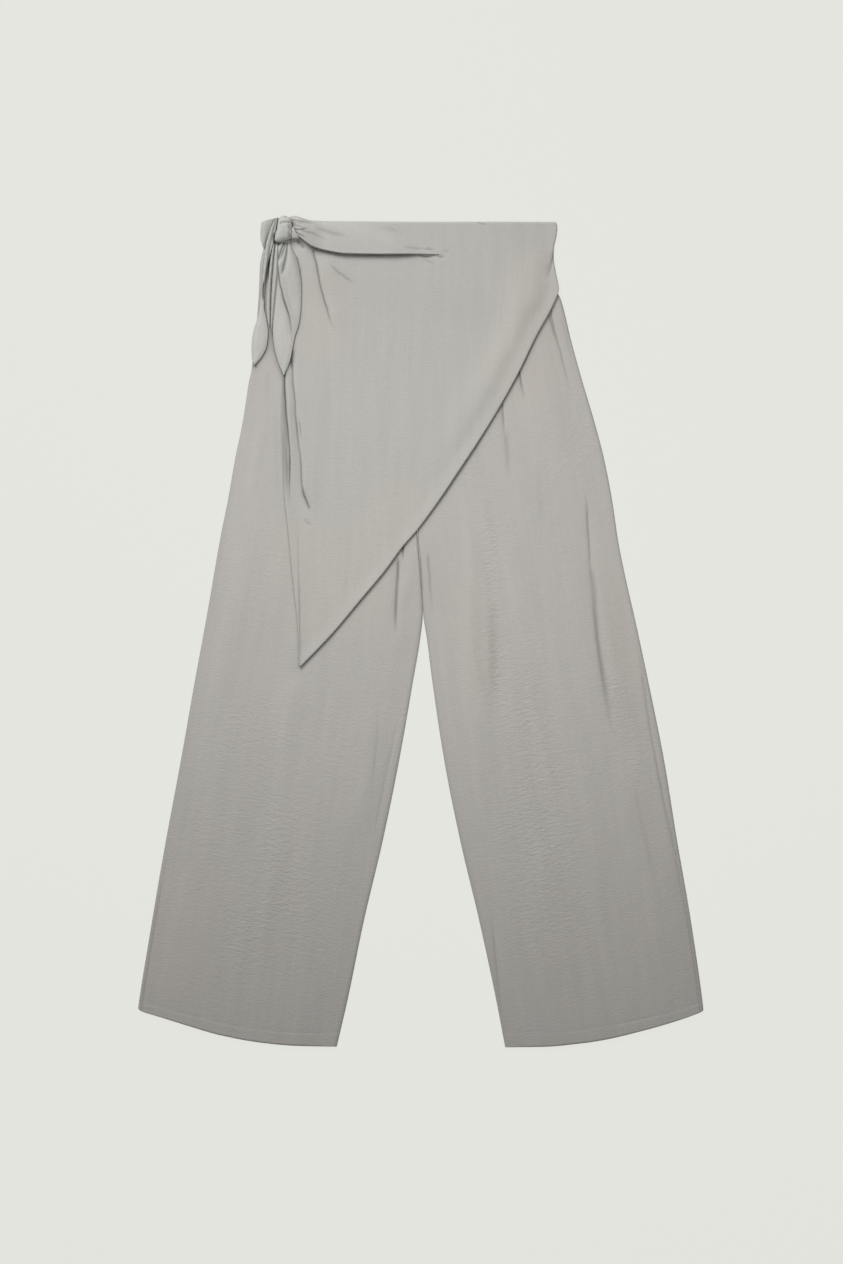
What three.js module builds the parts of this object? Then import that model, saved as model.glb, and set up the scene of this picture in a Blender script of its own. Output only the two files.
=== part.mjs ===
// Wide-leg crinkle satin trousers with a wrapped front panel, laid flat on a surface.
// The wrap closes in a knot at the wearer's right side of the waist, with two short tie ends.
// Millimetres. +X is the viewer's right (the wearer's left), +Y points to the waist, +Z is up from the surface.
// Along the garment every place is given by its drop, the distance down from the waist edge.
import * as THREE from 'three';

// Driving dimensions
const CLOTH = 1.4;
const GAP = 0.4;
const SEAM_HALF = 0.2;
const KNOT_RISE = 7.6;
const HEM_DROP = 1047.8;
const HEM_SIDE_DROP = 998.5;
const HEM_BAND = 18;
const HEM_TURN = 0.5;
const CROTCH_DROP = 496.6;
const WRAP_TIP_DROP = 565;
const WAIST_Y = (HEM_DROP - KNOT_RISE) / 2;

// How full the flat tube of cloth is between its front and back, and over what width it closes at a seam
const FULLNESS = 2.4;
const EDGE_RUN = 60;
const CROTCH_SPREAD = 0.6;

// Where the cloth steps down below the part of the wrap that lies under it
const STEP_START = 8;
const STEP_END = 70;

// The wrap turns round the trousers' side in this width, and lets go of it in this stretch of drop
const TURN_FOOT = 1;
const TURN_WIDTH = 4.2;
const TURN_RELEASE = { from: 68, to: 84 };
const END_RELEASE = { from: 12, to: 24 };

const SATIN = 0xb6b4af;
const SATIN_SHADE = 0xa9a7a2;

// Outlines, each a table of [drop, x], from the waist down
const OUTER_RIGHT_SIDE = [
  [0, -196.8], [24, -197.4], [34, -199.8], [42, -201.8], [56, -204.2], [86, -205.4], [125, -208], [150, -214.3],
  [201, -216.9], [252, -225.7], [302, -235.9], [353, -244.8], [404, -255], [455, -263.8], [506, -272.7],
  [582, -286.7], [683, -304.5], [785, -323.5], [887, -341.3], [988, -357.8], [HEM_SIDE_DROP, -359.1],
];
const OUTER_LEFT_SIDE = [
  [0, 167.6], [29, 163.8], [45, 163.2], [66, 166.4], [82, 170], [91, 174.4], [99, 178.1], [150, 190.8],
  [201, 204.8], [252, 220], [302, 234], [353, 242.9], [404, 250.5], [455, 260.7], [506, 273.4],
  [582, 288.6], [683, 308.9], [785, 325.4], [887, 343.2], [988, 358], [HEM_SIDE_DROP, 359.1],
];
const CENTRE_SEAM = [[0, 0], [200, -2], [392, -4.1], [447, 0.3], [CROTCH_DROP, 2.8]];
const INSEAM_RIGHT = [
  ...CENTRE_SEAM, [531, -1], [582, -9.8], [683, -27.6], [785, -49.2], [887, -73.3], [988, -93.7],
  [HEM_DROP, -106.6],
];
const INSEAM_LEFT = [
  ...CENTRE_SEAM, [531, 7.9], [582, 14.3], [683, 29.5], [785, 49.8], [887, 74], [988, 95.6], [HEM_DROP, 107],
];
const WRAP_EDGE = [
  [0, -165.4], [26, -166], [45, -174], [100, -177], [197, -175.2], [249, -176.2], [305, -174.9],
  [342, -173.3], [389, -168.6], [429, -164.8], [470, -160.6], [514, -155.9], [WRAP_TIP_DROP, -154.2],
];
const WRAP_HEM = [
  [0, 173], [6, 172.4], [29, 169.2], [45, 168.6], [66, 171.8], [84, 175.1], [89, 175.1], [112, 165.4],
  [142, 148.9], [192, 124.8], [229, 104.5], [277, 75.2], [318, 48.1], [352, 25.3], [392, -4.1],
  [413, -22.5], [441, -42.9], [479, -74.6], [522, -110.7], [WRAP_TIP_DROP, -151.6],
];

// Lower edges, each a table of [x, drop]
const HEM_RIGHT_LEG = [
  [-359.1, 998.5], [-339, 1007], [-298, 1020], [-254, 1032.5], [-202, 1042.7], [-157, 1046], [-106.6, 1047],
];
const HEM_LEFT_LEG = [
  [107, HEM_DROP], [155, HEM_DROP], [205, 1042.7], [233, 1039], [285, 1026], [328, 1013.5], [359.1, 998.5],
];
const WRAP_BACK_HEM = [[-203.5, 33], [175.1, 89]];
const ROLL_TOP = [[-162, -4.6], [-158, -6.2], [-150, -4], [-138.6, -0.8], [-103, 0], [64, 0]];
const ROLL_LOW = [[-162, 17], [-154, 21], [-137, 33], [-113, 39.4], [-96, 41.9], [-48, 42.6], [13, 42], [64, 43]];

// Knot and ties, tables of [drop, x]
const KNOT_LEFT = [[-KNOT_RISE, -178], [0, -180], [19, -183.6], [28.6, -182]];
const KNOT_RIGHT = [[-KNOT_RISE, -167], [0, -164.8], [23, -163], [28.6, -166]];
const SIDE_TIE_LEFT = [
  [-4, -183], [10, -189], [27, -195.3], [61, -199.6], [86, -202], [109, -204.4], [159, -213.9], [181, -211.4],
];
const SIDE_TIE_RIGHT = [
  [-4, -180.6], [10, -182.8], [20, -184.6], [35, -187.8], [51, -192.6], [86, -197.6], [109, -198.3],
  [125, -196], [140, -195], [159, -196.2], [181, -209.6],
];
const FRONT_TIE_LEFT = [
  [29.4, -181.6], [51, -184.6], [86, -186.4], [114, -187.6], [135, -188], [159, -185.6], [178, -180.7], [195, -174.4],
];
const FRONT_TIE_RIGHT = [
  [29.4, -165], [49.5, -156.4], [85, -150.8], [109, -151.6], [131, -154.6], [147, -159.6], [159, -162],
  [176, -165.4], [195, -172.6],
];
const WRAP_END_LEFT = [[1.3, -202.6], [10, -203.5], [20, -203.4], [33, -200.3]];
const WRAP_END_RIGHT = [[0, -166.2], [20, -166.6], [33, -171]];
const WRAP_END_TOP = [[-202.6, 1.3], [-198, -0.6], [-184, -4]];

// Folds of the panels. path is [drop, x] down the fold's crest, left and right are the widths of its two
// slopes, height is how far the crest stands up.
const LEG_FOLDS = [
  { path: [[345, 214], [432, 226], [532, 238], [598, 248], [670, 264]], left: 11, right: 22, height: 1.9 },
  { path: [[340, 62], [543, 64], [760, 90]], left: 20, right: 24, height: 1.3 },
  { path: [[500, 166], [747, 213], [900, 238]], left: 26, right: 22, height: 1.3 },
  { path: [[640, 290], [860, 330]], left: 10, right: 14, height: 0.8 },
  { path: [[430, -22], [500, -22], [560, -24]], left: 9, right: 14, height: 1.1 },
  { path: [[600, -58], [690, -62], [800, -84]], left: 12, right: 16, height: 1.1 },
  { path: [[560, -170], [700, -196], [960, -214]], left: 34, right: 44, height: 1.2 },
  { path: [[200, -196], [420, -222], [640, -266]], left: 14, right: 26, height: 1 },
  { path: [[760, 150], [880, 160], [990, 180]], left: 36, right: 40, height: 1.1 },
];
const WRAP_FOLDS = [
  { path: [[6, 160], [102, 134], [147, 116], [199, 88], [258, 54], [330, 6]], left: 22, right: 16, height: 1.9 },
  { path: [[174, -157], [212, -155], [258, -151], [305, -146], [338, -143], [376, -132]], left: 6, right: 20, height: 2 },
  { path: [[190, -167.6], [249, -167], [305, -163.6], [345, -161.6]], left: 3.4, right: 5, height: 1.2 },
  { path: [[36, -128], [76, -121], [109, -112], [148, -98]], left: 7, right: 15, height: 1.6 },
  { path: [[60, 164], [89, 152], [120, 138]], left: 9, right: 9, height: 0.9 },
];

// The rolled top fold, the knot and the ties
const ROLL_HEIGHT = 6.5;
const ROLL_KNOT_HEIGHT = 12;
const ROLL_KNOT_RUN = 34;
const ROLL_FADE = { from: 4, to: 60 };
const KNOT_HEIGHT = 14;
const TIE_CROWN = 1.6;
const GATHER_HEIGHT = 8;
const GATHER_RUN = 62;
const PLEAT_HEIGHT = 3.4;
const PLEATS = 2;
const PLEAT_SPAN = { from: 36, to: 150 };

const clamp01 = (value) => Math.min(1, Math.max(0, value));
const mix = (a, b, t) => a + (b - a) * t;

// Runs from 0 at `from` to 1 at `to` with soft ends.
function smooth(from, to, value) {
  const t = clamp01((value - from) / (to - from));
  return t * t * (3 - 2 * t);
}

// Reads a table of [key, value] rows, straight between its rows and level past its ends.
function read(table, key) {
  if (key <= table[0][0]) return table[0][1];
  for (let i = 1; i < table.length; i += 1) {
    const [k1, v1] = table[i];
    const [k0, v0] = table[i - 1];
    if (key <= k1) return mix(v0, v1, (key - k0) / (k1 - k0));
  }
  return table[table.length - 1][1];
}

// Height that a set of folds adds at a place. Each fold fades out at both of its ends.
function foldHeight(folds, x, drop) {
  let height = 0;
  for (const fold of folds) {
    const first = fold.path[0][0];
    const last = fold.path[fold.path.length - 1][0];
    const along = (drop - first) / (last - first);
    const side = x - read(fold.path, drop);
    const slope = side < 0 ? fold.left : fold.right;
    const fade = smooth(0, 0.3, along) * smooth(0, 0.3, 1 - along);
    height += fold.height * fade * Math.exp(-((side / slope) ** 2));
  }
  return height;
}

// Heights of the layers, from the surface up
function stepUnderLegs(x, drop) {
  const below = drop - read(WRAP_BACK_HEM, x);
  return (CLOTH + GAP) * (1 - smooth(STEP_START, STEP_END, below));
}

function fullness(x, drop) {
  const fromSide = Math.min(x - read(OUTER_RIGHT_SIDE, drop), read(OUTER_LEFT_SIDE, drop) - x);
  const inseam = x < read(CENTRE_SEAM, drop) ? read(INSEAM_RIGHT, drop) : read(INSEAM_LEFT, drop);
  const fromCrotch = Math.abs(x - inseam) + Math.max(0, CROTCH_DROP - drop) * CROTCH_SPREAD;
  return FULLNESS * smooth(0, EDGE_RUN, fromSide) * smooth(0, EDGE_RUN, fromCrotch);
}

// Level of the top of the trousers' front, before its own folds
function legDeck(x, drop) {
  return stepUnderLegs(x, drop) + 2 * CLOTH + GAP + fullness(x, drop);
}

// 0 under the wrap and up to 1 well clear of it
function clearOfWrap(x, drop) {
  const left = read(WRAP_EDGE, drop) - x;
  const right = (x - read(WRAP_HEM, drop)) * 0.75;
  const below = drop - WRAP_TIP_DROP;
  return smooth(6, 34, Math.max(left, right, below));
}

// Level of the top of the wrap's front panel
function wrapTop(x, drop) {
  return legDeck(x, drop) + GAP + CLOTH + foldHeight(WRAP_FOLDS, x, drop);
}

// Level that the knot and the ties lie on
const tieDeck = (x, drop) => wrapTop(x, drop) + GAP;

// A closed wall of cloth from rows of points { x, drop, low, high }, rows from the waist down,
// points from the viewer's left to the right.
function wall(name, rows, colour) {
  const across = rows[0].length;
  const count = rows.length * across;
  const points = [];
  for (const level of ['high', 'low']) {
    for (const row of rows) {
      for (const p of row) points.push(p.x, WAIST_Y - p.drop, p[level]);
    }
  }
  const index = [];
  const quad = (a, b, c, d) => index.push(a, b, c, a, c, d);
  const at = (row, column) => row * across + column;
  for (let r = 0; r + 1 < rows.length; r += 1) {
    for (let c = 0; c + 1 < across; c += 1) {
      const corners = [at(r, c), at(r + 1, c), at(r + 1, c + 1), at(r, c + 1)];
      quad(...corners);
      quad(...corners.map((corner) => corner + count).reverse());
    }
    const right = at(r, across - 1);
    const rightNext = at(r + 1, across - 1);
    quad(at(r, 0), at(r, 0) + count, at(r + 1, 0) + count, at(r + 1, 0));
    quad(right, rightNext, rightNext + count, right + count);
  }
  for (let c = 0; c + 1 < across; c += 1) {
    const lowRow = rows.length - 1;
    quad(at(0, c), at(0, c + 1), at(0, c + 1) + count, at(0, c) + count);
    quad(at(lowRow, c + 1), at(lowRow, c), at(lowRow, c) + count, at(lowRow, c + 1) + count);
  }
  const geometry = new THREE.BufferGeometry();
  geometry.setAttribute('position', new THREE.Float32BufferAttribute(points, 3));
  geometry.setIndex(index);
  geometry.computeVertexNormals();
  const material = new THREE.MeshStandardMaterial({ color: colour, roughness: 0.55, metalness: 0 });
  const mesh = new THREE.Mesh(geometry, material);
  mesh.name = name;
  return mesh;
}

// Fractions across a width: fixed steps in millimetres at each side, then even steps between them.
function spread(width, fromLeft, fromRight, even) {
  const most = fromLeft[fromLeft.length - 1] + fromRight[fromRight.length - 1];
  const scale = Math.min(1, (width * 0.6) / most);
  const left = fromLeft.map((step) => (step * scale) / width);
  const right = fromRight.map((step) => 1 - (step * scale) / width).reverse();
  const start = left[left.length - 1];
  const between = Array.from({ length: even - 1 }, (_, i) => mix(start, right[0], (i + 1) / even));
  return [...left, ...between, ...right];
}

// Leg panels
const LEG_ROWS = [
  0, 10, 33, 60, 84, 99, 125, 155, 200, 250, 302, 353, 392, 420, 447, CROTCH_DROP, 531, 582, 630, 683, 734,
  785, 836, 887, 938, 988, HEM_DROP - HEM_BAND - 2, HEM_DROP - HEM_BAND, HEM_DROP,
];
const HEM_BEND_START = 800;
const FRONT_COLUMNS = { outer: [0, 5, 16, 32, 46, 62], inner: [0, 6, 18, 34], even: 9 };
const BACK_COLUMNS = { outer: [0, 16, 46], inner: [0, 18], even: 5 };

function legRows(side, columns, heights) {
  const right = side === 'right';
  const outer = right ? OUTER_RIGHT_SIDE : OUTER_LEFT_SIDE;
  const inseam = right ? INSEAM_RIGHT : INSEAM_LEFT;
  const hem = right ? HEM_RIGHT_LEG : HEM_LEFT_LEG;
  return LEG_ROWS.map((rowDrop) => {
    const outerX = read(outer, Math.min(rowDrop, HEM_SIDE_DROP));
    const seamX = read(inseam, rowDrop) + (right ? -SEAM_HALF : SEAM_HALF);
    const [fromX, toX] = right ? [outerX, seamX] : [seamX, outerX];
    const [fromLeft, fromRight] = right ? [columns.outer, columns.inner] : [columns.inner, columns.outer];
    return spread(toX - fromX, fromLeft, fromRight, columns.even).map((part) => {
      const x = mix(fromX, toX, part);
      const bend = clamp01((rowDrop - HEM_BEND_START) / (HEM_DROP - HEM_BEND_START));
      const drop = rowDrop + (read(hem, x) - HEM_DROP) * bend ** 2;
      return { x, drop, ...heights(x, drop, rowDrop) };
    });
  });
}

function legFront(side) {
  return legRows(side, FRONT_COLUMNS, (x, drop, rowDrop) => {
    const hemTurn = rowDrop >= HEM_DROP - HEM_BAND ? HEM_TURN : 0;
    const high = legDeck(x, drop) + foldHeight(LEG_FOLDS, x, drop) * clearOfWrap(x, drop);
    return { low: high - CLOTH, high: high + hemTurn };
  });
}

function legBack(side) {
  return legRows(side, BACK_COLUMNS, (x, drop) => {
    const low = stepUnderLegs(x, drop);
    return { low, high: low + CLOTH };
  });
}

// The wrap's front panel, from its edge under the ties to the side and the slanting hem
const WRAP_ROWS = [
  0, 8, 24, 44, 62, 76, 89, 101, 118, 142, 167, 192, 218, 248, 277, 305, 330, 352, 376, 402, 428, 458, 490, 522,
  545, WRAP_TIP_DROP,
];
const WRAP_COLUMNS = { left: [0, 4, 8.5, 14, 21, 30], right: [0, TURN_FOOT, TURN_WIDTH, 14, 26], even: 9 };
const WRAP_HEM_LIFT = 1;
const WRAP_HEM_RUN = 22;

function wrapFront() {
  return WRAP_ROWS.map((drop) => {
    const fromX = read(WRAP_EDGE, drop);
    const toX = read(WRAP_HEM, drop);
    const parts = spread(toX - fromX, WRAP_COLUMNS.left, WRAP_COLUMNS.right, WRAP_COLUMNS.even);
    return parts.map((part) => {
      const x = mix(fromX, toX, part);
      const turn = 1 - smooth(TURN_RELEASE.from, TURN_RELEASE.to, drop);
      const hold = 1 - turn * (1 - smooth(TURN_FOOT, TURN_WIDTH, toX - x));
      const lift = WRAP_HEM_LIFT * (1 - turn) * (1 - smooth(0, WRAP_HEM_RUN, toX - x));
      const low = mix(CLOTH + GAP, wrapTop(x, drop) - CLOTH + lift, hold);
      return { x, drop, low, high: low + CLOTH };
    });
  });
}

// The part of the wrap that passes behind the waist, under everything
const WRAP_BACK_INSET = 0.6;

function wrapBack() {
  const columns = [0, 0.1, 0.25, 0.4, 0.55, 0.7, 0.85, 0.93, 1];
  return [0, 0.2, 0.4, 0.6, 0.8, 1].map((down) => columns.map((part) => {
    const alongHem = mix(WRAP_BACK_HEM[0][0], WRAP_BACK_HEM[1][0], part);
    const drop = mix(WRAP_BACK_INSET, read(WRAP_BACK_HEM, alongHem), down);
    const x = mix(read(WRAP_END_LEFT, drop) + WRAP_BACK_INSET, read(WRAP_HEM, drop) - WRAP_BACK_INSET, part);
    return { x, drop, low: 0, high: CLOTH };
  }));
}

// The end of the wrap that comes round the side from behind and goes into the knot
function wrapEnd() {
  const parts = [0, 0.03, 0.13, 0.4, 0.7, 1];
  const lowest = read(WRAP_BACK_HEM, WRAP_BACK_HEM[0][0]);
  return [0, 0.25, 0.5, 0.75, 1].map((down) => parts.map((part) => {
    const rowDrop = mix(0, lowest, down);
    const fromX = read(WRAP_END_LEFT, rowDrop);
    const x = mix(fromX, read(WRAP_END_RIGHT, rowDrop), part);
    const drop = mix(read(WRAP_END_TOP, x), lowest, down);
    const turn = 1 - smooth(END_RELEASE.from, END_RELEASE.to, drop);
    const hold = 1 - turn * (1 - smooth(TURN_FOOT, TURN_WIDTH, x - fromX));
    const low = mix(CLOTH + GAP, wrapTop(x, Math.max(0, drop)) - CLOTH, hold);
    return { x, drop, low, high: low + CLOTH };
  }));
}

// The top of the wrap rolled over on itself. It is fullest beside the knot and dies out to the right.
function wrapRoll() {
  const stations = [-162, -158, -153, -147, -139, -128, -113, -96, -72, -48, -22, 2, 24, 44, 64];
  const across = [0, 0.12, 0.3, 0.5, 0.68, 0.84, 0.95, 1];
  return across.map((part) => stations.map((x) => {
    const drop = mix(read(ROLL_TOP, x), read(ROLL_LOW, x), part);
    const low = wrapTop(x, Math.max(0, drop)) + GAP;
    const nearKnot = 1 - smooth(0, ROLL_KNOT_RUN, x - stations[0]);
    const fade = 1 - smooth(ROLL_FADE.from, ROLL_FADE.to, x);
    const crest = mix(ROLL_HEIGHT, ROLL_KNOT_HEIGHT, nearKnot);
    const round = Math.sin(Math.PI * mix(0.06, 0.93, part ** 1.3));
    return { x, drop, low, high: low + CLOTH + (crest - CLOTH) * fade * round };
  }));
}

// The band that crosses over the knot
function knotBand() {
  const drops = [-KNOT_RISE, -6, -3, 1, 6, 12, 18, 23, 26.6, 28.6];
  const parts = [0, 0.08, 0.22, 0.4, 0.6, 0.78, 0.92, 1];
  const middle = (drops[0] + drops[drops.length - 1]) / 2;
  const half = (drops[drops.length - 1] - drops[0]) / 2;
  return drops.map((drop) => parts.map((part) => {
    const x = mix(read(KNOT_LEFT, drop), read(KNOT_RIGHT, drop), part);
    const roundAcross = Math.sqrt(1 - (2 * part - 1) ** 2 * 0.94);
    const roundDown = Math.sqrt(1 - ((drop - middle) / half) ** 2 * 0.94);
    const crease = 0.5 * Math.cos(part * Math.PI * 5);
    const low = tieDeck(x, Math.max(0, drop));
    return { x, drop, low, high: low + CLOTH + (KNOT_HEIGHT - CLOTH + crease) * roundAcross * roundDown };
  }));
}

// A tie end: a leaf between two edges. rise adds height where the cloth is gathered near the knot.
function tie(left, right, drops, parts, deck, rise) {
  return drops.map((drop) => parts.map((part) => {
    const x = mix(read(left, drop), read(right, drop), part);
    const crown = TIE_CROWN * Math.sin(Math.PI * part);
    const low = deck(x, drop);
    return { x, drop, low, high: low + CLOTH + crown + rise(x, drop, part) };
  }));
}

function sideTie() {
  const drops = [-4, 2, 10, 20, 35, 51, 68, 86, 109, 125, 140, 159, 170, 181];
  const overEnd = (x, drop) => {
    const onWrapEnd = 1 - smooth(36, 60, drop);
    return legDeck(x, Math.max(0, drop)) + GAP + (CLOTH + GAP) * onWrapEnd;
  };
  const rise = (x, drop, part) => GATHER_HEIGHT * (1 - smooth(0, GATHER_RUN, drop)) * Math.sin(Math.PI * part) * 0.6;
  return tie(SIDE_TIE_LEFT, SIDE_TIE_RIGHT, drops, [0, 0.25, 0.5, 0.75, 1], overEnd, rise);
}

// The front tie folds over along a line from the knot down to its right edge.
const TIE_FOLD_LINE = [[40, -180], [85, -177.5], [114, -167.7], [142, -161]];
const TIE_FOLD_HEIGHT = 1.6;

function frontTie() {
  const drops = [29.4, 38, 50, 66, 85, 100, 114, 131, 147, 159, 170, 182, 195];
  const start = drops[0];
  const rise = (x, drop, part) => {
    const gather = GATHER_HEIGHT * (1 - smooth(start, start + GATHER_RUN, drop)) * (0.35 + 0.65 * Math.sin(Math.PI * part));
    const folded = smooth(-2, 3, x - read(TIE_FOLD_LINE, drop)) * (1 - smooth(120, 150, drop));
    return gather + TIE_FOLD_HEIGHT * folded * smooth(0, 0.12, 1 - part);
  };
  return tie(FRONT_TIE_LEFT, FRONT_TIE_RIGHT, drops, [0, 0.14, 0.28, 0.42, 0.56, 0.72, 0.88, 1], tieDeck, rise);
}

// Narrow gathered folds that hang between the two ties
function tiePleat(number) {
  const { from, to } = PLEAT_SPAN;
  const drops = Array.from({ length: 9 }, (_, i) => mix(from, to, i / 8));
  return drops.map((drop) => {
    const left = read(SIDE_TIE_RIGHT, drop);
    const width = read(FRONT_TIE_LEFT, drop) - left;
    const end = smooth(0, 0.4, (to - drop) / (to - from));
    const fromX = left + (width * number) / PLEATS + GAP;
    const toX = left + (width * (number + 1)) / PLEATS - GAP;
    const middle = (fromX + toX) / 2;
    return [0, 0.3, 0.7, 1].map((part) => {
      const x = mix(middle, mix(fromX, toX, part), mix(0.4, 1, end));
      const low = tieDeck(x, drop);
      const round = Math.sin(Math.PI * mix(0.1, 0.9, part));
      return { x, drop, low, high: low + CLOTH + PLEAT_HEIGHT * round * mix(0.2, 1, end) };
    });
  });
}

const trousers = new THREE.Group();
trousers.add(
  wall('wrap_back', wrapBack(), SATIN_SHADE),
  wall('leg_back_right', legBack('right'), SATIN_SHADE),
  wall('leg_back_left', legBack('left'), SATIN_SHADE),
  wall('leg_front_right', legFront('right'), SATIN),
  wall('leg_front_left', legFront('left'), SATIN),
  wall('wrap_front', wrapFront(), SATIN),
  wall('wrap_end', wrapEnd(), SATIN),
  wall('wrap_roll', wrapRoll(), SATIN),
  wall('knot_band', knotBand(), SATIN),
  wall('tie_side', sideTie(), SATIN),
  wall('tie_front', frontTie(), SATIN),
);
for (let number = 0; number < PLEATS; number += 1) {
  trousers.add(wall(`tie_pleat_${number + 1}`, tiePleat(number), SATIN));
}

export default trousers;
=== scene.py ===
"""Wide-leg crinkle satin trousers with a knotted wrap, laid flat and seen from straight above.

Tables and heights are in millimetres. Every place on the garment is (x, drop): x to the viewer's right
from the centre, drop down from the waist edge. The meshes are in metres, in the frame's own axes.
"""
import math

import bpy
import numpy as np
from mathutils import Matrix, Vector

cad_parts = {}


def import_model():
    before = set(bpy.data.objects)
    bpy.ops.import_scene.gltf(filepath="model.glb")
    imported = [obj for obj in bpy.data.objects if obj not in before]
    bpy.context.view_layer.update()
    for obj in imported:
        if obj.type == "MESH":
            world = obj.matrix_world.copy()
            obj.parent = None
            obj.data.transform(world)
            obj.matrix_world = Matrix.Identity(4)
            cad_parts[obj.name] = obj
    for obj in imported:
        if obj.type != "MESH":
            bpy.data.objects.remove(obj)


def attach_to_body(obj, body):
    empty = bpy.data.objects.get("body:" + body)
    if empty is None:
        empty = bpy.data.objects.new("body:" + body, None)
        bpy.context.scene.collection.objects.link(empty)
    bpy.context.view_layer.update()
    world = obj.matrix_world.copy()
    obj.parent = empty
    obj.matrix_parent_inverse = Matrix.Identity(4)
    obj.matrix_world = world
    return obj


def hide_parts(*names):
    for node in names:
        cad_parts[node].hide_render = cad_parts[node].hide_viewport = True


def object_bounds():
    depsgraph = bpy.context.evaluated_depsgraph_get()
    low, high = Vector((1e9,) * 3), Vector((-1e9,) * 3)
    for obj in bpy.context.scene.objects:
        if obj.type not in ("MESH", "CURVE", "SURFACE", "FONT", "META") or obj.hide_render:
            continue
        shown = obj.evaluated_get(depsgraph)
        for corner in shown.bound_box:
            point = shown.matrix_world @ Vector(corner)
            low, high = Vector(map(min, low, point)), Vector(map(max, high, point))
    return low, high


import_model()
cad_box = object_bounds()

# Sizes of the garment
MM = 0.001
KNOT_RISE = 7.6
HEM_DROP = 1047.8
HEM_SIDE_DROP = 998.5
CROTCH_DROP = 496.6
WRAP_TIP_DROP = 565
WRAP_CORNER_DROP = 89
WAIST_Y = cad_box[1].y / MM - KNOT_RISE
CLOTH_STEP = 1.4
GAP = 0.4
THICKNESS = 0.8
ROUND_THICKNESS = 0.7
FULLNESS = 2.4
EDGE_RUN = 60
WAIST_INSET = 0.8
CROTCH_SPREAD = 0.6


def smooth(low, high, value):
    """Runs from 0 at low to 1 at high with soft ends."""
    t = np.clip((np.asarray(value, float) - low) / (high - low), 0, 1)
    return t * t * (3 - 2 * t)


def mix(a, b, t):
    return a + (b - a) * t


def bell(value, width):
    """1 at 0, and nearly nothing from twice the width on."""
    return np.exp(-((value / width) ** 2))


def fall(distance, run):
    """1 at 0, and a third of what is left after each run."""
    return np.exp(-distance / run)


def curve(numbers):
    """A smooth curve through key, value, key, value and so on. It never overshoots them, and it is level
    past both ends."""
    keys, values = np.array(numbers, float).reshape(-1, 2).T
    steps = np.diff(keys)
    rises = np.diff(values) / steps
    slopes = np.concatenate([rises[:1], np.zeros(len(rises) - 1), rises[-1:]])
    for i in range(1, len(rises)):
        if rises[i - 1] * rises[i] > 0:
            slopes[i] = 2 / (1 / rises[i - 1] + 1 / rises[i])

    def at(key):
        key = np.clip(key, keys[0], keys[-1])
        i = np.clip(np.searchsorted(keys, key, side="right") - 1, 0, len(steps) - 1)
        t = (key - keys[i]) / steps[i]
        rest = 1 - t
        return (
            values[i] * rest * rest * (1 + 2 * t)
            + values[i + 1] * t * t * (3 - 2 * t)
            + steps[i] * t * rest * (slopes[i] * rest - slopes[i + 1] * t)
        )

    at.first, at.last = keys[0], keys[-1]
    return at


# Outlines: drop, x, drop, x and so on
CENTRE_SEAM = [0, 0, 200, -2, 392, -4.1, 447, 0.3, CROTCH_DROP, 2.8]
centre_seam = curve(CENTRE_SEAM)
outer_right = curve([
    0, -196.8, 24, -197.4, 34, -199.8, 42, -201.8, 56, -204.2, 86, -205.4, 125, -208, 150, -211.5,
    186, -214.4, 201, -217.7, 252, -225.7, 302, -235.9, 353, -244.8, 404, -255, 455, -263.8, 506, -272.7,
    582, -286.7, 683, -304.5, 785, -323.5, 887, -341.3, 988, -357.8, HEM_SIDE_DROP, -359.1,
])
outer_left = curve([
    0, 167.6, 29, 163.8, 45, 163.2, 66, 166.4, 82, 170, 91, 174.4, 99, 178.1, 150, 190.8, 201, 204.8,
    252, 220, 302, 233, 353, 242.9, 404, 250.5, 455, 260.7, 506, 272.4, 582, 288.6, 683, 308.9, 785, 325.4,
    887, 343.2, 988, 358, HEM_SIDE_DROP, 359.1,
])
inseam_right = curve([
    *CENTRE_SEAM, 531, -0.8, 582, -9.4, 683, -27.1, 785, -47.9, 887, -71.9, 988, -92.6, HEM_DROP, -106.4,
])
inseam_left = curve([
    *CENTRE_SEAM, 531, 7.9, 582, 14.3, 683, 29.5, 785, 49.8, 887, 74, 988, 95.6, HEM_DROP, 107,
])
wrap_edge = curve([
    0, -165.4, 26, -166, 45, -174, 100, -177, 197, -175.2, 249, -176.2, 305, -174.9, 342, -173.3,
    389, -168.6, 429, -164.8, 470, -160.6, 514, -155.9, WRAP_TIP_DROP, -154,
])
wrap_side = curve([
    0, 170.2, 1.5, 172.2, 5, 173.4, 10, 173.5, 18, 172.3, 25, 171, 29, 169.9, 33, 169.2, 45, 168.8, 66, 172,
    84, 175.1, WRAP_CORNER_DROP, 175.4,
])
wrap_slant = curve([
    WRAP_CORNER_DROP, 175.2, 112, 164.8, 142, 148.1, 192, 123.9, 229, 103.6, 277, 74.3, 318, 47.2,
    352, 24.4, 392, -5, 413, -23.4, 441, -43.8, 479, -75.5, 522, -111.5, WRAP_TIP_DROP, -152.6,
])
wrap_hem_line = curve([378, -155.8, 430, -155.4, 480, -153.9, 546, -153.1])
wrap_end_left = curve([0, -202.2, 10, -203.5, 20, -203.4, 33, -200.3])
SIDE_TIE = curve([
    -4.4, -181.8, 0, -186, 10, -190.4, 20, -193.6, 28, -195.8, 61, -199.8, 86, -202, 109, -204.4, 125, -208,
    138, -212, 151, -214.4, 160, -214.8, 172, -214.4, 182, -211.6,
]), curve([
    -4.4, -180.6, 10, -182.8, 20, -184.6, 35, -188.2, 51, -193.2, 86, -197.6, 109, -198.3, 125, -195.4,
    140, -193.6, 159, -195.6, 172, -202, 182, -210.2,
])
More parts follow.
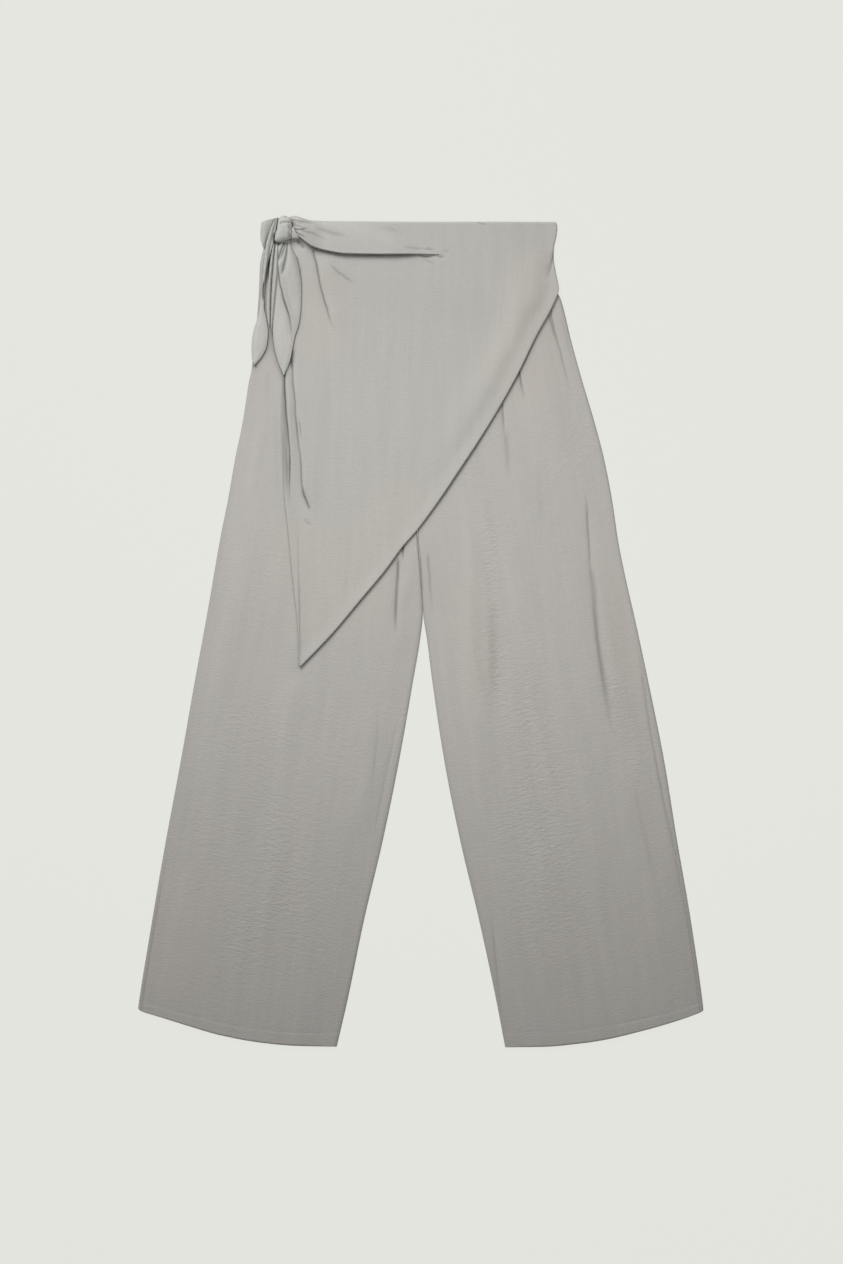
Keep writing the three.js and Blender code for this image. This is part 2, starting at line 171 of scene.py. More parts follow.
FRONT_TIE = curve([
    22, -180.5, 51, -184.6, 86, -186.4, 114, -187.6, 135, -188, 159, -185.6, 178, -180.7, 195, -174.2,
]), curve([
    22, -166, 29, -164.6, 49.5, -156.4, 85, -150.8, 109, -151.6, 131, -154.6, 147, -159.6, 159, -162,
    176, -165.4, 195, -172.6,
])
FIRST_GATHER = (
    curve([30.5, -187.6, 50.8, -190.8, 80, -193.6, 105.4, -195.4, 124, -194.4, 134, -192.2]),
    curve([30.5, -184.8, 61, -187.8, 86.4, -189.8, 111.8, -190.6, 126, -190.8, 134, -191.2]),
)
SECOND_GATHER = (
    curve([30.5, -184.3, 61, -187.2, 86.4, -189, 111.8, -189.9, 130, -190.2, 142, -190]),
    curve([30.5, -179.6, 61, -179.8, 80, -181.4, 99, -184, 121.9, -186.8, 142, -189.2]),
)
GATHERS = {1: (FIRST_GATHER, 0.8), 2: (SECOND_GATHER, 2.2)}
KNOT = curve([
    -5.8, -175.5, -4.4, -177.4, -2, -179.4, 0, -180.2, 10, -181.6, 16.5, -184, 21.5, -184.6, 25.2, -181.5,
]), curve([
    -5.8, -171, -4.4, -167.5, -2, -164.6, 0, -163.8, 10, -163, 18, -162.6, 22, -162.8, 25.2, -166,
])
KNOT_CENTRE = -173
KNOT_HALF = 12
KNOT_SLANT = 0.3
LOBE = curve([
    8, -162.6, 14, -164, 20, -164.6, 23, -164,
]), curve([
    8, -161.8, 12, -159.2, 17, -155.8, 20.6, -153.2, 23, -154.4,
])

# Upper and lower edges: x, drop, x, drop and so on
hem_right = curve([
    -359.1, 1000, -352, 1003.1, -335, 1008.2, -318.6, 1013.3, -298, 1019.8, -254, 1032.5, -202, 1042,
    -157, 1046, -106.6, 1047,
])
hem_left = curve([
    107, HEM_DROP, 155, 1047.2, 205, 1042.7, 233, 1038.4, 285, 1026, 328, 1013.4, 349.3, 1005.8,
    359.1, 1002,
])
wrap_back_hem = curve([-203.5, 33, 175.1, 89])
wrap_end_top = curve([-203, 1.6, -198, -0.6, -184, -4])
roll_top = curve([
    -166, -5, -160, -6.4, -154, -5, -146, -2.2, -138, -0.3, -103, WAIST_INSET, 70, WAIST_INSET,
])
roll_low = curve([
    -166, 15, -160, 17, -154, 21, -137, 33, -113, 39.4, -96, 41.9, -48, 42.8, 13, 42, 70, 44,
])


def wrap_right(drop):
    """Right edge of the wrap's front: its side down to the corner, then the slanting hem."""
    return np.where(drop < WRAP_CORNER_DROP, wrap_side(drop), wrap_slant(drop))


def noise(x, y, cell_x, cell_y, seed):
    """Smooth noise from -1 to 1 on cells of that size."""
    lattice = np.random.default_rng(seed).uniform(-1, 1, (256, 256))
    u, v = np.asarray(x) / cell_x, np.asarray(y) / cell_y
    i, j = np.floor(u).astype(int), np.floor(v).astype(int)
    s, t = smooth(0, 1, u - i), smooth(0, 1, v - j)
    near = mix(lattice[i % 256, j % 256], lattice[(i + 1) % 256, j % 256], s)
    far = mix(lattice[i % 256, (j + 1) % 256], lattice[(i + 1) % 256, (j + 1) % 256], s)
    return mix(near, far, t)


def line_distance(path, x, drop):
    """Signed distance from a path, positive on the viewer's right of one that runs down, and the share of
    the path's length at its nearest point."""
    points = np.array(path, float).reshape(-1, 2)
    lengths = np.linalg.norm(np.diff(points, axis=0), axis=1)
    total = lengths.sum()
    best = np.full(np.shape(x), np.inf)
    side, along = np.zeros((2, *np.shape(x)))
    before = 0
    for start, length, end in zip(points, lengths, points[1:]):
        ux, ud = (end - start) / length
        px, pd = x - start[0], drop - start[1]
        run = np.clip(px * ux + pd * ud, 0, length)
        distance = np.hypot(px - run * ux, pd - run * ud)
        nearer = distance < best
        best = np.where(nearer, distance, best)
        side = np.where(nearer, np.sign(px * ud - pd * ux) * distance, side)
        along = np.where(nearer, (before + run) / total, along)
        before += length
    return side, along


def faded(along, fade_in=0.3, fade_out=0.3):
    """Fades a line in and out over those shares of its length."""
    return smooth(0, fade_in, along) * smooth(0, fade_out, 1 - along)


# Creases: how far they wander, their depth in the mesh, and how dark their painted shade is
WANDER = 0.45
CREASE_RELIEF = 0.65
CORE = 1.1
DEEPEST = 3.6
DARKEST = 0.85
FLANK_SHADE = 0.35


def wander(x, drop):
    """Moves places a little sideways, so that no crease looks ruled."""
    return x + WANDER * noise(x, drop, 7, 11, 61)


def relief(folds, x, drop):
    """Height that folds and creases add. A fold is round and a crease is sharp."""
    height = np.zeros(np.shape(x))
    x = wander(x, drop)
    for path, left, right, rise, *fades in folds:
        xs, drops = path[::2], path[1::2]
        reach = 4 * max(left, right)
        near = (x > min(xs) - reach) & (x < max(xs) + reach)
        near &= (drop > min(drops) - reach) & (drop < max(drops) + reach)
        side, along = line_distance(path, x[near], drop[near])
        share = np.abs(side) / np.where(side < 0, left, right)
        form = CREASE_RELIEF * fall(share, 1) if rise < 0 else bell(share, 1)
        height[near] += faded(along, *fades) * rise * form
    return height


def crease_shade(folds, x, drop):
    """Painted shade in creases, from 0 to 1, from how deep in a crease each place lies, as the mesh is too
    coarse to shade it all.
    """
    open_share = np.ones(np.shape(x))
    uneven = 0.92 + 0.16 * noise(x, drop, 12, 26, 62)
    x = wander(x, drop)
    for path, left, right, rise, *fades in folds:
        if rise > 0:
            continue
        side, along = line_distance(path, x, drop)
        core = max(CORE, 0.8 * min(left, right))
        flank = FLANK_SHADE * fall(np.abs(side), np.where(side < 0, left, right))
        depth = np.clip(-rise / DEEPEST, 0, DARKEST)
        open_share *= 1 - depth * faded(along, *fades) * uneven * np.maximum(bell(side, core), flank)
    return 1 - open_share


def with_shade(*shades):
    """Joins several painted shades, each from 0 to 1."""
    open_share = 1
    for shade in shades:
        open_share = open_share * (1 - shade)
    return 1 - open_share


def outline_shade(edges, x, drop, run, most):
    """Painted shadow, from 0 to 1, on what lies just outside a tie end, the knot or its lobe."""
    left, right = edges[0](drop), edges[1](drop)
    past_tip = np.maximum(drop - edges[0].last, 0)
    outside = np.hypot(np.maximum(np.maximum(left - x, x - right), 0), past_tip)
    return most * fall(outside, run) * (drop > edges[0].first)


def knot_slant(x, drop):
    """How much higher the knot's lower edge is at x than at its middle."""
    return KNOT_SLANT * np.clip(x - KNOT_CENTRE, -KNOT_HALF, KNOT_HALF) * smooth(2, 26, drop)


def knot_shade(x, drop):
    """Painted shadow on what lies just outside the knot and its lobe."""
    knot = outline_shade(KNOT, x, drop + knot_slant(x, drop), run=1.6, most=0.78)
    lobe = outline_shade(LOBE, x, drop, run=0.9, most=0.85)
    return with_shade(knot, lobe, relief(KNOT_SHADOW, x, drop))


# Folds, and creases with negative heights: path of x, drop, x, drop and so on, widths of the left and
# right slopes, height, and the fades in and out as shares of the path, 0.3 where they aren't given.
LEG_FOLDS = [
    ([214, 345, 226, 432, 238, 532, 248, 598, 264, 670], 11, 22, 1.9),
    ([62, 340, 64, 543, 90, 760], 9, 12, 1.6),
    ([166, 500, 213, 747, 238, 900], 12, 16, 1.3),
    ([290, 640, 330, 860], 10, 14, 0.8),
    ([-22, 430, -22, 500, -24, 560], 9, 14, 1.1),
    ([-58, 600, -62, 690, -84, 800], 12, 16, 1.1),
    ([-150, 500, -176, 700, -204, 960], 12, 20, 1.5),
    ([-196, 200, -222, 420, -266, 640], 9, 16, 1.2),
    ([150, 760, 160, 880, 180, 990], 14, 20, 1.2),
    ([118, 320, 126, 480, 140, 640], 16, 26, 0.7),
    ([262, 640, 288, 800, 318, 960], 18, 22, 0.8),
    ([-300, 640, -318, 800, -330, 930], 20, 22, 0.8),
    ([-120, 600, -134, 760, -150, 930], 18, 26, 0.8),
]
LEG_CREASES = [
    ([209.5, 340, 211.6, 372, 213, 405, 215, 436, 218, 466], 2.2, 1.5, -1.8, 0.3, 0.35),
    ([214.3, 431.8, 218.8, 466, 220.5, 490, 224.2, 532, 231, 580, 236, 610, 241, 640,
      252, 668], 6.5, 4.6, -1.2, 0.1, 0.4),
    ([218.5, 470, 220.6, 500, 226, 546, 232, 586, 238, 622], 1.4, 1, -0.8, 0.3, 0.5),
    ([164, 108, 168, 130, 176, 160, 187, 203, 188, 228], 1.4, 0.9, -1.5, 0.02, 0.5),
    ([162, 116, 167, 134, 175, 160], 1.4, 0.8, -1.3, 0.02, 0.6),
    ([177, 120, 186, 150, 198, 200], 2.5, 2, -0.3, 0.1, 0.6),
    ([124, 188, 128, 208, 132.4, 230], 2.4, 1, -2.2, 0.02, 0.7),
    ([103.5, 230, 105, 255, 106.5, 280], 2.6, 1, -2.3, 0.02, 0.7),
    ([108, 262, 112, 330], 4, 5, -0.8, 0.2, 0.6),
    ([9.2, 420, 12, 465, 16.3, 508], 2.2, 2.6, -1.1, 0.1, 0.6),
    ([275, 524, 283, 590, 293.7, 660.4, 307.7, 732.8, 322.9, 802.6, 331.8, 861,
      339, 905], 1.6, 1.1, -1, 0.25, 0.35),
    ([266, 690, 284, 780, 300, 860], 5, 4, -0.3, 0.3, 0.4),
    ([87.9, 866, 95.6, 944, 103, 1016], 1.6, 1.2, -0.9, 0.4, 0.3),
    ([-28.4, 424, -29.8, 455, -31, 481.3, -33, 532], 2.8, 2.2, -2.4, 0.1, 0.4),
    ([-22.5, 400, -22.5, 432], 1.8, 1.2, -3.4, 0.05, 0.5),
    ([-26, 618, -44, 700, -66, 812], 1.6, 1.2, -0.6, 0.3, 0.4),
    ([-51.8, 612, -58, 680, -64.5, 750], 3, 2, -0.5, 0.3, 0.5),
    ([-184, 232, -183.5, 280, -182, 330, -178, 372], 5, 3, -0.25, 0.2, 0.4),
    ([-193, 190, -196, 250], 4, 4, -0.25, 0.05, 0.6),
    ([146, 300, 158, 420], 6, 8, -0.3, 0.3, 0.5),
    ([90, 460, 92, 640], 8, 9, -0.6, 0.4, 0.4),
]
BACK_FOLDS = [
    ([-204, 150, -216, 320, -238, 540], 9, 12, 1),
    ([-64, 300, -72, 520, -96, 700], 10, 9, 0.8, 0.3, 0.4),
    ([-160, 560, -186, 760, -200, 960], 13, 9, 1.1),
    ([-268, 700, -290, 860], 9, 9, 0.8, 0.3, 0.4),
    ([70, 220, 78, 420, 98, 610], 9, 12, 1),
    ([196, 300, 222, 500, 250, 660], 12, 9, 1.1),
    ([150, 620, 176, 800, 196, 980], 10, 13, 0.9),
    ([290, 720, 312, 880], 9, 9, 0.8, 0.3, 0.4),
]
WRAP_FOLDS = [
    ([160, 6, 134, 102, 116, 147, 88, 199, 54, 258, 6, 330], 20, 13, 2.6, 0.25, 0.4),
    ([-157, 174, -155, 212, -151, 258, -146, 305, -143, 338, -132, 376], 6, 20, 2),
    ([-167.6, 190, -167, 249, -163.6, 305, -161.6, 345], 3.4, 5, 1.2),
    ([-128, 36, -121, 76, -112, 109, -98, 148], 7, 15, 1.6),
    ([164, 60, 152, 89, 138, 120], 9, 9, 0.9),
]
ROLL_END_CREASES = [
    ([3, 39, 8, 38.2, 14, 40.6, 22, 44.4, 34, 46.6], 1.3, 1.3, -2.6, 0.15, 0.4),
    ([-4, 43.4, 6, 45.2, 14, 44.8, 21, 42.4], 1.3, 1.3, -2.3, 0.2, 0.4),
    ([6, 36, 12, 37, 19, 41.2], 1.3, 1.2, -1.9, 0.2, 0.4),
    ([28, 37.6, 34, 38.4, 38, 36], 1.3, 1.3, -1, 0.3, 0.5),
    ([4, 48, 12, 52, 20, 56], 1.6, 1.4, -0.8, 0.2, 0.6),
]
WRAP_CREASES = [
    ([-163.9, 168, -161.9, 207, -159.3, 230, -158.7, 249, -156.5, 270.5, -153.7, 293.4, -151.7, 312.4,
      -151.2, 331.5, -148.6, 346.7, -143.8, 357, -140.6, 367], 3, 0.9, -1.9, 0.06, 0.18),
    ([-150.9, 334, -147.6, 348, -143.8, 358, -139.4, 369.5], 1.8, 1.6, -2.4, 0.4, 0.25),
    ([-174.4, 166, -173.2, 190, -172.4, 217, -171.2, 239, -169.2, 260, -167.7, 277, -166.4, 293.4,
      -166, 323, -166.1, 350, -165.4, 374], 4.2, 0.9, -3, 0.03, 0.35),
    ([-174, 258, -173.7, 300, -172.8, 352], 1, 0.8, -0.9, 0.2, 0.4),
    ([-171.6, 282, -170.3, 318, -169.8, 350], 1, 0.8, -0.9, 0.2, 0.5),
    ([-169, 300, -168.4, 332, -168, 360], 0.9, 0.8, -0.5, 0.2, 0.5),
    ([-137.5, 34, -131.8, 57, -128, 77.5, -121.6, 103, -112.7, 132.1,
      -105.1, 147.3], 1.9, 1.1, -2.3, 0.04, 0.4),
    ([-119, 52, -104, 65, -91.1, 75, -77, 82.6], 2.2, 2, -1.2, 0.3, 0.4),
    ([-157.2, 24.1, -150.5, 31, -147, 36], 1.5, 1.3, -2.8, 0.1, 0.3),
    ([-157, 44, -152, 62, -151, 84], 2.4, 2, -0.9, 0.1, 0.5),
    ([169, 38, 166, 52, 162.5, 64, 159.4, 78], 2, 1.6, -2, 0.05, 0.5),
    ([71, 1, 78, 3.4, 86, 5.2], 1.6, 1.4, -1.2, 0.2, 0.4),
    *ROLL_END_CREASES,
    ([-148.6, 377, -143, 382.5, -138, 385.8], 2.6, 2, -0.8, 0.3, 0.4),
    ([-154.5, 250, -151, 280], 1.6, 1.4, -1, 0.3, 0.4),
]
END_FOLDS = [
    ([-190, -4, -197, 34], 2, 2.6, -1, 0.1, 0.2),
    ([-197, 0, -200, 33], 2.4, 3, 0.8, 0.1, 0.2),
    ([-186, 2, -190, 34], 2.2, 2.2, 0.7, 0.2, 0.2),
]
ROLL_CREASES = [
    ([-164, 10, -154, 12.5, -145, 11, -140, 9], 1.3, 1.1, -2.6, 0.02, 0.4),
    ([-164, 5, -153, 8, -147, 9.5], 1.2, 1, -2, 0.02, 0.5),
    ([-163, -1, -152, 1.5, -138, 3, -124, 6], 1.5, 1.2, -1.9, 0.02, 0.6),
    ([-163, 3, -155, 3.6, -146, 5.4], 1.2, 1, -1.4, 0.02, 0.6),
    ([-160, 16, -150, 19.5, -141, 25], 1.4, 1.2, -2.2, 0.02, 0.5),
    ([-152, 13, -136, 17, -116, 26], 3, 2.4, -1.3, 0.1, 0.6),
    ([-136, 8, -112, 16, -84, 22], 4, 4, -0.9, 0.2, 0.5),
    ([-60, 8, -20, 12, 20, 10], 5, 6, -0.5, 0.3, 0.4),
    ([-24, 33, -6, 35, 10, 36], 2, 1.6, -0.8, 0.3, 0.4),
    *ROLL_END_CREASES,
]
KNOT_CREASES = [
    ([-179, 4.8, -174, 3.2, -169, 2.6, -164, 3.6], 1.3, 0.8, -2.4, 0.1, 0.1),
    ([-167.6, 6, -165.8, 11, -165.8, 15.5], 1.4, 1.2, -2.2, 0.1, 0.4),
    ([-171.5, -6.4, -170.5, -1.6], 0.9, 0.7, -2.2, 0.02, 0.5),
    ([-167, 14, -166, 18, -164.4, 22], 1.5, 1.2, -2, 0.2, 0.2),
    ([-176, 6, -172.5, 14, -173.5, 25], 2.4, 2.4, -0.5, 0.2, 0.3),
]
LOBE_CREASES = [
    ([-162.4, 13, -160, 17.5, -157.4, 21], 1, 0.8, -0.9, 0.1, 0.3),
]
SIDE_TIE_FOLDS = [
    ([-183, -2, -187, 14, -191, 34, -195, 60, -198.5, 86, -201, 110], 1.4, 0.9, -2, 0.05, 0.5),
    ([-186, 6, -192, 30, -197, 58], 1.1, 0.9, -1.3, 0.1, 0.5),
    ([-198.4, 74, -199.6, 84, -199.7, 93, -198.6, 104], 1.9, 1.8, -4.4, 0.25, 0.25),
    ([-204, 120, -207, 145, -210, 170], 3, 3, 0.5),
]
FRONT_TIE_FOLDS = [
    ([-181, 48, -179, 68, -177, 81, -173.5, 95, -169.3, 109, -165.4, 122, -162.8, 136,
      -161.8, 150], 0.9, 4.5, 2.2, 0.05, 0.4),
    ([-182.3, 46, -180.2, 68, -178.3, 81, -174.8, 95, -170.6, 109, -166.8, 121, -164.6, 134, -163.4, 148,
      -162.6, 158], 2.2, 0.8, -2.8, 0.05, 0.3),
    ([-168.6, 27.2, -170, 44.5, -175, 65, -177.5, 72], 1.9, 1.7, -4.2, 0.02, 0.25),
    ([-173, 27.5, -177, 39, -180.6, 49, -182.4, 56], 1.8, 1.5, -4, 0.02, 0.25),
    ([-171, 27, -173, 36, -176, 45, -178.4, 52], 1.2, 1, -2.8, 0.04, 0.4),
    ([-163.5, 25, -161, 34, -157.6, 44], 1.4, 1.2, -2.6, 0.04, 0.5),
    ([-177, 120, -178.5, 150, -175, 185], 3, 3, 0.6),
]

# Painted shadows, and warm patches, in rows of the same kind
KNOT_SHADOW = [
    ([-184, 14, -185.8, 20, -185, 26.4, -181, 29.6, -176, 28.4], 2, 2.2, 0.95, 0.15, 0.2),
]
TIE_GAP_SHADE = [
    ([-191.6, 42, -192.2, 56, -193.4, 78], 2, 2, 0.95),
]
WRAP_SHADES = [
    ([-174, 176, -172.6, 226, -170.6, 277, -169.4, 328, -168.6, 350], 3.4, 2.2, 0.26, 0.2, 0.45),
    ([-160.8, 158, -162, 166, -163.4, 178, -164.6, 190], 2.2, 2.2, 0.8, 0.3, 0.4),
]
WARM_PATCHES = [
    ([-150, 60, -150, 180], 44, 50, 0.9, 0.1, 0.1),
    ([-162, 360, -150, 540], 20, 46, 1, 0.3, 0.1),
    ([150, 30, 150, 120, 96, 250], 44, 46, 0.9, 0.1, 0.3),
    ([10, 300, -60, 430, -130, 520], 40, 40, 0.8, 0.3, 0.2),
    ([-300, 800, -330, 980], 46, 40, 0.6, 0.3, 0.1),
    ([60, 420, 80, 640], 30, 34, 0.6),
    ([240, 380, 268, 620], 26, 30, 0.6),
]

# Where the cross crinkle is strong: path, width, strength
RIPPLE_BANDS = [
    ([-176, 600, -190, 800, -206, 990], 70, 0.8),
    ([88, 300, 90, 450, 100, 640], 10, 1.15),
    ([120, 480, 140, 700, 170, 980], 52, 0.85),
    ([238, 560, 262, 640, 284, 760], 14, 0.9),
]
RIPPLE_REST = 0.28
RIPPLE_FADE = 0.2
WRAP_RIPPLE = 0.8


def ripple_strength(x, drop):
    """How strong the cross crinkle is, from 0 to about 1."""
    strength = np.full(np.shape(x), RIPPLE_REST)
    for path, width, most in RIPPLE_BANDS:
        side, along = line_distance(path, x, drop)
        band = faded(along, RIPPLE_FADE, RIPPLE_FADE) * bell(side, width)
        strength = strength + (most - RIPPLE_REST) * band
    patches = 0.75 + 0.4 * noise(x, drop, 46, 70, 5)
    return np.clip(strength * patches, 0, 1.2)


def crinkle(x, drop, seed):
    """Short cross ripples of the crinkle cloth, the largest ones, in millimetres."""
    wide = noise(x + 4 * noise(x, drop, 22, 14, seed + 1), drop, 11, 5.4, seed)
    soft = noise(x, drop, 38, 90, seed + 3)
    slow = noise(x + drop * 0.3, drop, 16, 26, seed + 4)
    return ripple_strength(x, drop) * 0.05 * wide + 0.2 * soft + 0.08 * slow


# Levels of the layers, from the surface up
STEP_START = 8
STEP_END = 70
HEM_LEAN = 0.75
UNDER_WRAP = 1


def step_under_legs(x, drop):
    below = drop - wrap_back_hem(x)
    return (CLOTH_STEP + GAP) * smooth(STEP_END, STEP_START, below)


def leg_deck(x, drop):
    from_side = np.minimum(x - outer_right(drop), outer_left(drop) - x)
    inseam = np.where(x < centre_seam(drop), inseam_right(drop), inseam_left(drop))
    from_crotch = np.abs(x - inseam) + np.maximum(0, CROTCH_DROP - drop) * CROTCH_SPREAD
    fullness = FULLNESS * smooth(0, EDGE_RUN, from_side) * smooth(0, EDGE_RUN, from_crotch)
    return step_under_legs(x, drop) + 2 * CLOTH_STEP + GAP + fullness


def clear_of_wrap(x, drop, start, end):
    """0 under the wrap, and 1 from `end` outside its edge on."""
    left = wrap_edge(drop) - x
    right = (x - wrap_right(drop)) * HEM_LEAN
    return smooth(start, end, np.maximum(np.maximum(left, right), drop - WRAP_TIP_DROP))


def leg_top(x, drop):
    folds = relief(LEG_FOLDS, x, drop) * clear_of_wrap(x, drop, 6, 34)
    creases = relief(LEG_CREASES, x, drop)
    outside = clear_of_wrap(x, drop, -5, -1)
    under_wrap = (relief(WRAP_CREASES, x, drop) - UNDER_WRAP) * (1 - outside)
    return leg_deck(x, drop) + folds + creases + under_wrap + crinkle(x, drop, 11) * outside


def wrap_level(x, drop):
    """Level of the wrap's outer face before its folds."""
    return leg_deck(x, drop) + GAP + CLOTH_STEP


def wrap_top(x, drop):
    folds = relief(WRAP_FOLDS, x, drop) + relief(WRAP_CREASES, x, drop)
    return wrap_level(x, drop) + folds + 0.7 * crinkle(x, drop, 31)


def tie_deck(x, drop):
    """Level that the knot and the ties lie on."""
    return leg_deck(x, drop) + CLOTH_STEP + 2 * GAP


def round_off(top, rim, distance, run):
    """Brings a level down to rim in a quarter round at an edge."""
    t = np.clip(distance / run, 0, 1)
    return rim + (top - rim) * np.sqrt(1 - (1 - t) ** 2)


# Meshes
def world(x, drop, z):
    return np.stack(np.broadcast_arrays(x, WAIST_Y - drop, z), axis=-1).astype(float)


def new_object(name, data):
    made = bpy.data.objects.new(name, data)
    bpy.context.scene.collection.objects.link(made)
    return made


def mesh_object(name, vertices, face_groups, **attributes):
    """A mesh of groups of faces, each group an array with one row of corners for each face."""
    mesh = bpy.data.meshes.new(name)
    mesh.vertices.add(len(vertices))
    mesh.vertices.foreach_set("co", (np.asarray(vertices, float) * MM).astype(np.float32).ravel())
    sides = np.concatenate([np.full(len(faces), faces.shape[1]) for faces in face_groups])
    corners = np.concatenate([faces.ravel() for faces in face_groups]).astype(np.int32)
    mesh.loops.add(len(corners))
    mesh.loops.foreach_set("vertex_index", corners)
    mesh.polygons.add(len(sides))
    mesh.polygons.foreach_set("loop_start", (np.cumsum(sides) - sides).astype(np.int32))
    mesh.update(calc_edges=True)
    mesh.validate()
    mesh.shade_smooth()
    for key, values in attributes.items():
        layer = mesh.attributes.new(key, "FLOAT", "POINT")
        layer.data.foreach_set("value", np.asarray(values, np.float32).ravel())
    return new_object(name, mesh)


def quads(index, from_below=False):
    """Faces between the points of a grid, that face up, or down if they are seen from below."""
    a, b, c, d = index[:-1, :-1], index[:-1, 1:], index[1:, 1:], index[1:, :-1]
    return np.stack([a, b, c, d] if from_below else [a, d, c, b], axis=-1).reshape(-1, 4)


def shell(name, top, low, ripple=RIPPLE_REST, every=1, shade=0):
    """A closed thin wall between two grids of points, rows from the waist down, columns to the right.
    The underside keeps one point in `every` of each row and column."""
    grid = top.shape[:2]
    index = np.arange(top[..., 0].size).reshape(grid)
    sparse = low[::every, ::every]
    below = index.size + np.arange(sparse[..., 0].size).reshape(sparse.shape[:2])

    def rim(line):
        upper_line, under_line = index[line], below[line]
        steps = len(under_line) - 1
        parts = [upper_line[i:i + every * steps:every] for i in range(every)] + [upper_line[every::every]]
        return np.stack([*parts, under_line[1:], under_line[:-1]], axis=-1)

    rims = [rim(line) for line in (np.s_[0], np.s_[:, -1], np.s_[-1, ::-1], np.s_[::-1, 0])]
    vertices = np.concatenate([top.reshape(-1, 3), sparse.reshape(-1, 3)])
    # shade is the painted shade of the outer face, which the material darkens the colour by; the underside
    # gets none
    strength, dark = np.broadcast_to(ripple, grid), np.broadcast_to(shade, grid)
    warm = np.clip(relief(WARM_PATCHES, vertices[:, 0], WAIST_Y - vertices[:, 1]), 0, 1)
    return mesh_object(
        name, vertices, [quads(index), quads(below, True), np.concatenate(rims)],
        ripple=np.concatenate([strength.ravel(), strength[::every, ::every].ravel()]),
        fold_shade=np.concatenate([dark.ravel(), np.zeros(below.size)]),
        warmth=warm,
    )


def wall(name, x, drop, top, **more):
    """A thin wall with its outer face at that level, and the points of that face."""
    points = world(x, drop, top)
    return shell(name, points, world(x, drop, top - THICKNESS), **more), points


def thicken(name, middle, **more):
    """A closed thin wall round a curved grid, half of it to each side, and the points of that grid."""
    normal = np.cross(np.gradient(middle, axis=0), np.gradient(middle, axis=1))
    normal /= np.maximum(np.linalg.norm(normal, axis=-1, keepdims=True), 1e-9)
    to_face = normal * ROUND_THICKNESS / 2
    return shell(name, middle + to_face, middle - to_face, **more), middle


# Materials. Colours are linear, and noise scales are cells in a metre across, along and through the cloth.
# FOLD_DARK is the share of the colour that is left where the painted shade is deepest
FOLD_DARK = 0.1
WARM_SHARE = 0.5
LEG_GRAIN = 9.5
WRAP_GRAIN = 2
TIE_GRAIN = -4
LEG_TINTS = ((0.488, 0.460, 0.424), (0.475, 0.458, 0.428))
WRAP_TINTS = ((0.490, 0.466, 0.430), (0.473, 0.467, 0.437))
# The ties' tints are the wrap's cloth made lighter: painted light that makes up for the shade on their
# raised, sloping faces
TIE_TINTS = ((0.512, 0.498, 0.466), (0.500, 0.500, 0.471))
TINT_STOPS = (0.15, 0.75)
THREAD_TINTS = ((0.36, 0.35, 0.33), (0.46, 0.45, 0.43))
SATIN_GLOSS = {"Roughness": 0.52, "Specular IOR Level": 0.42, "Sheen Weight": 0.18, "Sheen Roughness": 0.45}
CROSS_CELLS = (105, 265, 1)
FINE_CELLS = (300, 620, 1)
STREAK_CELLS = (300, 12, 1)
BROAD_CELLS = (11, 6, 1)
TONE_CELLS = (70, 6, 1)
TWIST_CELLS = (900, 900, 900)
THREAD_BANDS = 620


def feed(made, inputs):
    """Links each of a node's inputs to a socket, or sets it to a value."""
    for key, value in inputs.items():
        if isinstance(value, bpy.types.NodeSocket):
            made.id_data.links.new(value, made.inputs[key])
        else:
            made.inputs[key].default_value = value


def node(tree, kind, inputs, output=0, **settings):
    """Adds a shader node with those inputs and returns one of its outputs."""
    made = tree.nodes.new("ShaderNode" + kind)
    for key, value in settings.items():
        setattr(made, key, value)
    feed(made, inputs)
    return made.outputs[output]


def cloth_noise(tree, place, cells, detail=2, distortion=0):
    spread_out = node(tree, "Mapping", {"Vector": place, "Scale": cells})
    inputs = {"Vector": spread_out, "Scale": 1, "Detail": detail, "Roughness": 0.55}
    return node(tree, "TexNoise", {**inputs, "Distortion": distortion}, "Fac")


def weave(tree, place, direction):
    inputs = {"Vector": place, "Scale": THREAD_BANDS, "Distortion": 0}
    return node(tree, "TexWave", inputs, "Fac", wave_type="BANDS", bands_direction=direction)


def bump(tree, height, distance, strength=0.5, **normal):
    return node(tree, "Bump", {"Height": height, "Distance": distance, "Strength": strength, **normal})


def attribute(tree, name):
    return node(tree, "Attribute", {}, "Fac", attribute_name=name)


def spread(tree, value, low, high, **ends):
    """Brings a value from the range 0 to 1, or from the ends given, to low to high."""
    return node(tree, "MapRange", {"Value": value, "To Min": low, "To Max": high, **ends})


def product(tree, a, b):
    return node(tree, "Math", {0: a, 1: b}, operation="MULTIPLY")


def new_material(name):
    material = bpy.data.materials.new(name)
    material.use_nodes = True
    return material, material.node_tree, material.node_tree.nodes["Principled BSDF"]


def tint_ramp(tree, value, tints, stops=(0, 1)):
    colour = node(tree, "ValToRGB", {"Fac": value})
    for stop, position, tint in zip(colour.node.color_ramp.elements, stops, tints):
        stop.position = position
        stop.color = (*tint, 1)
    return colour


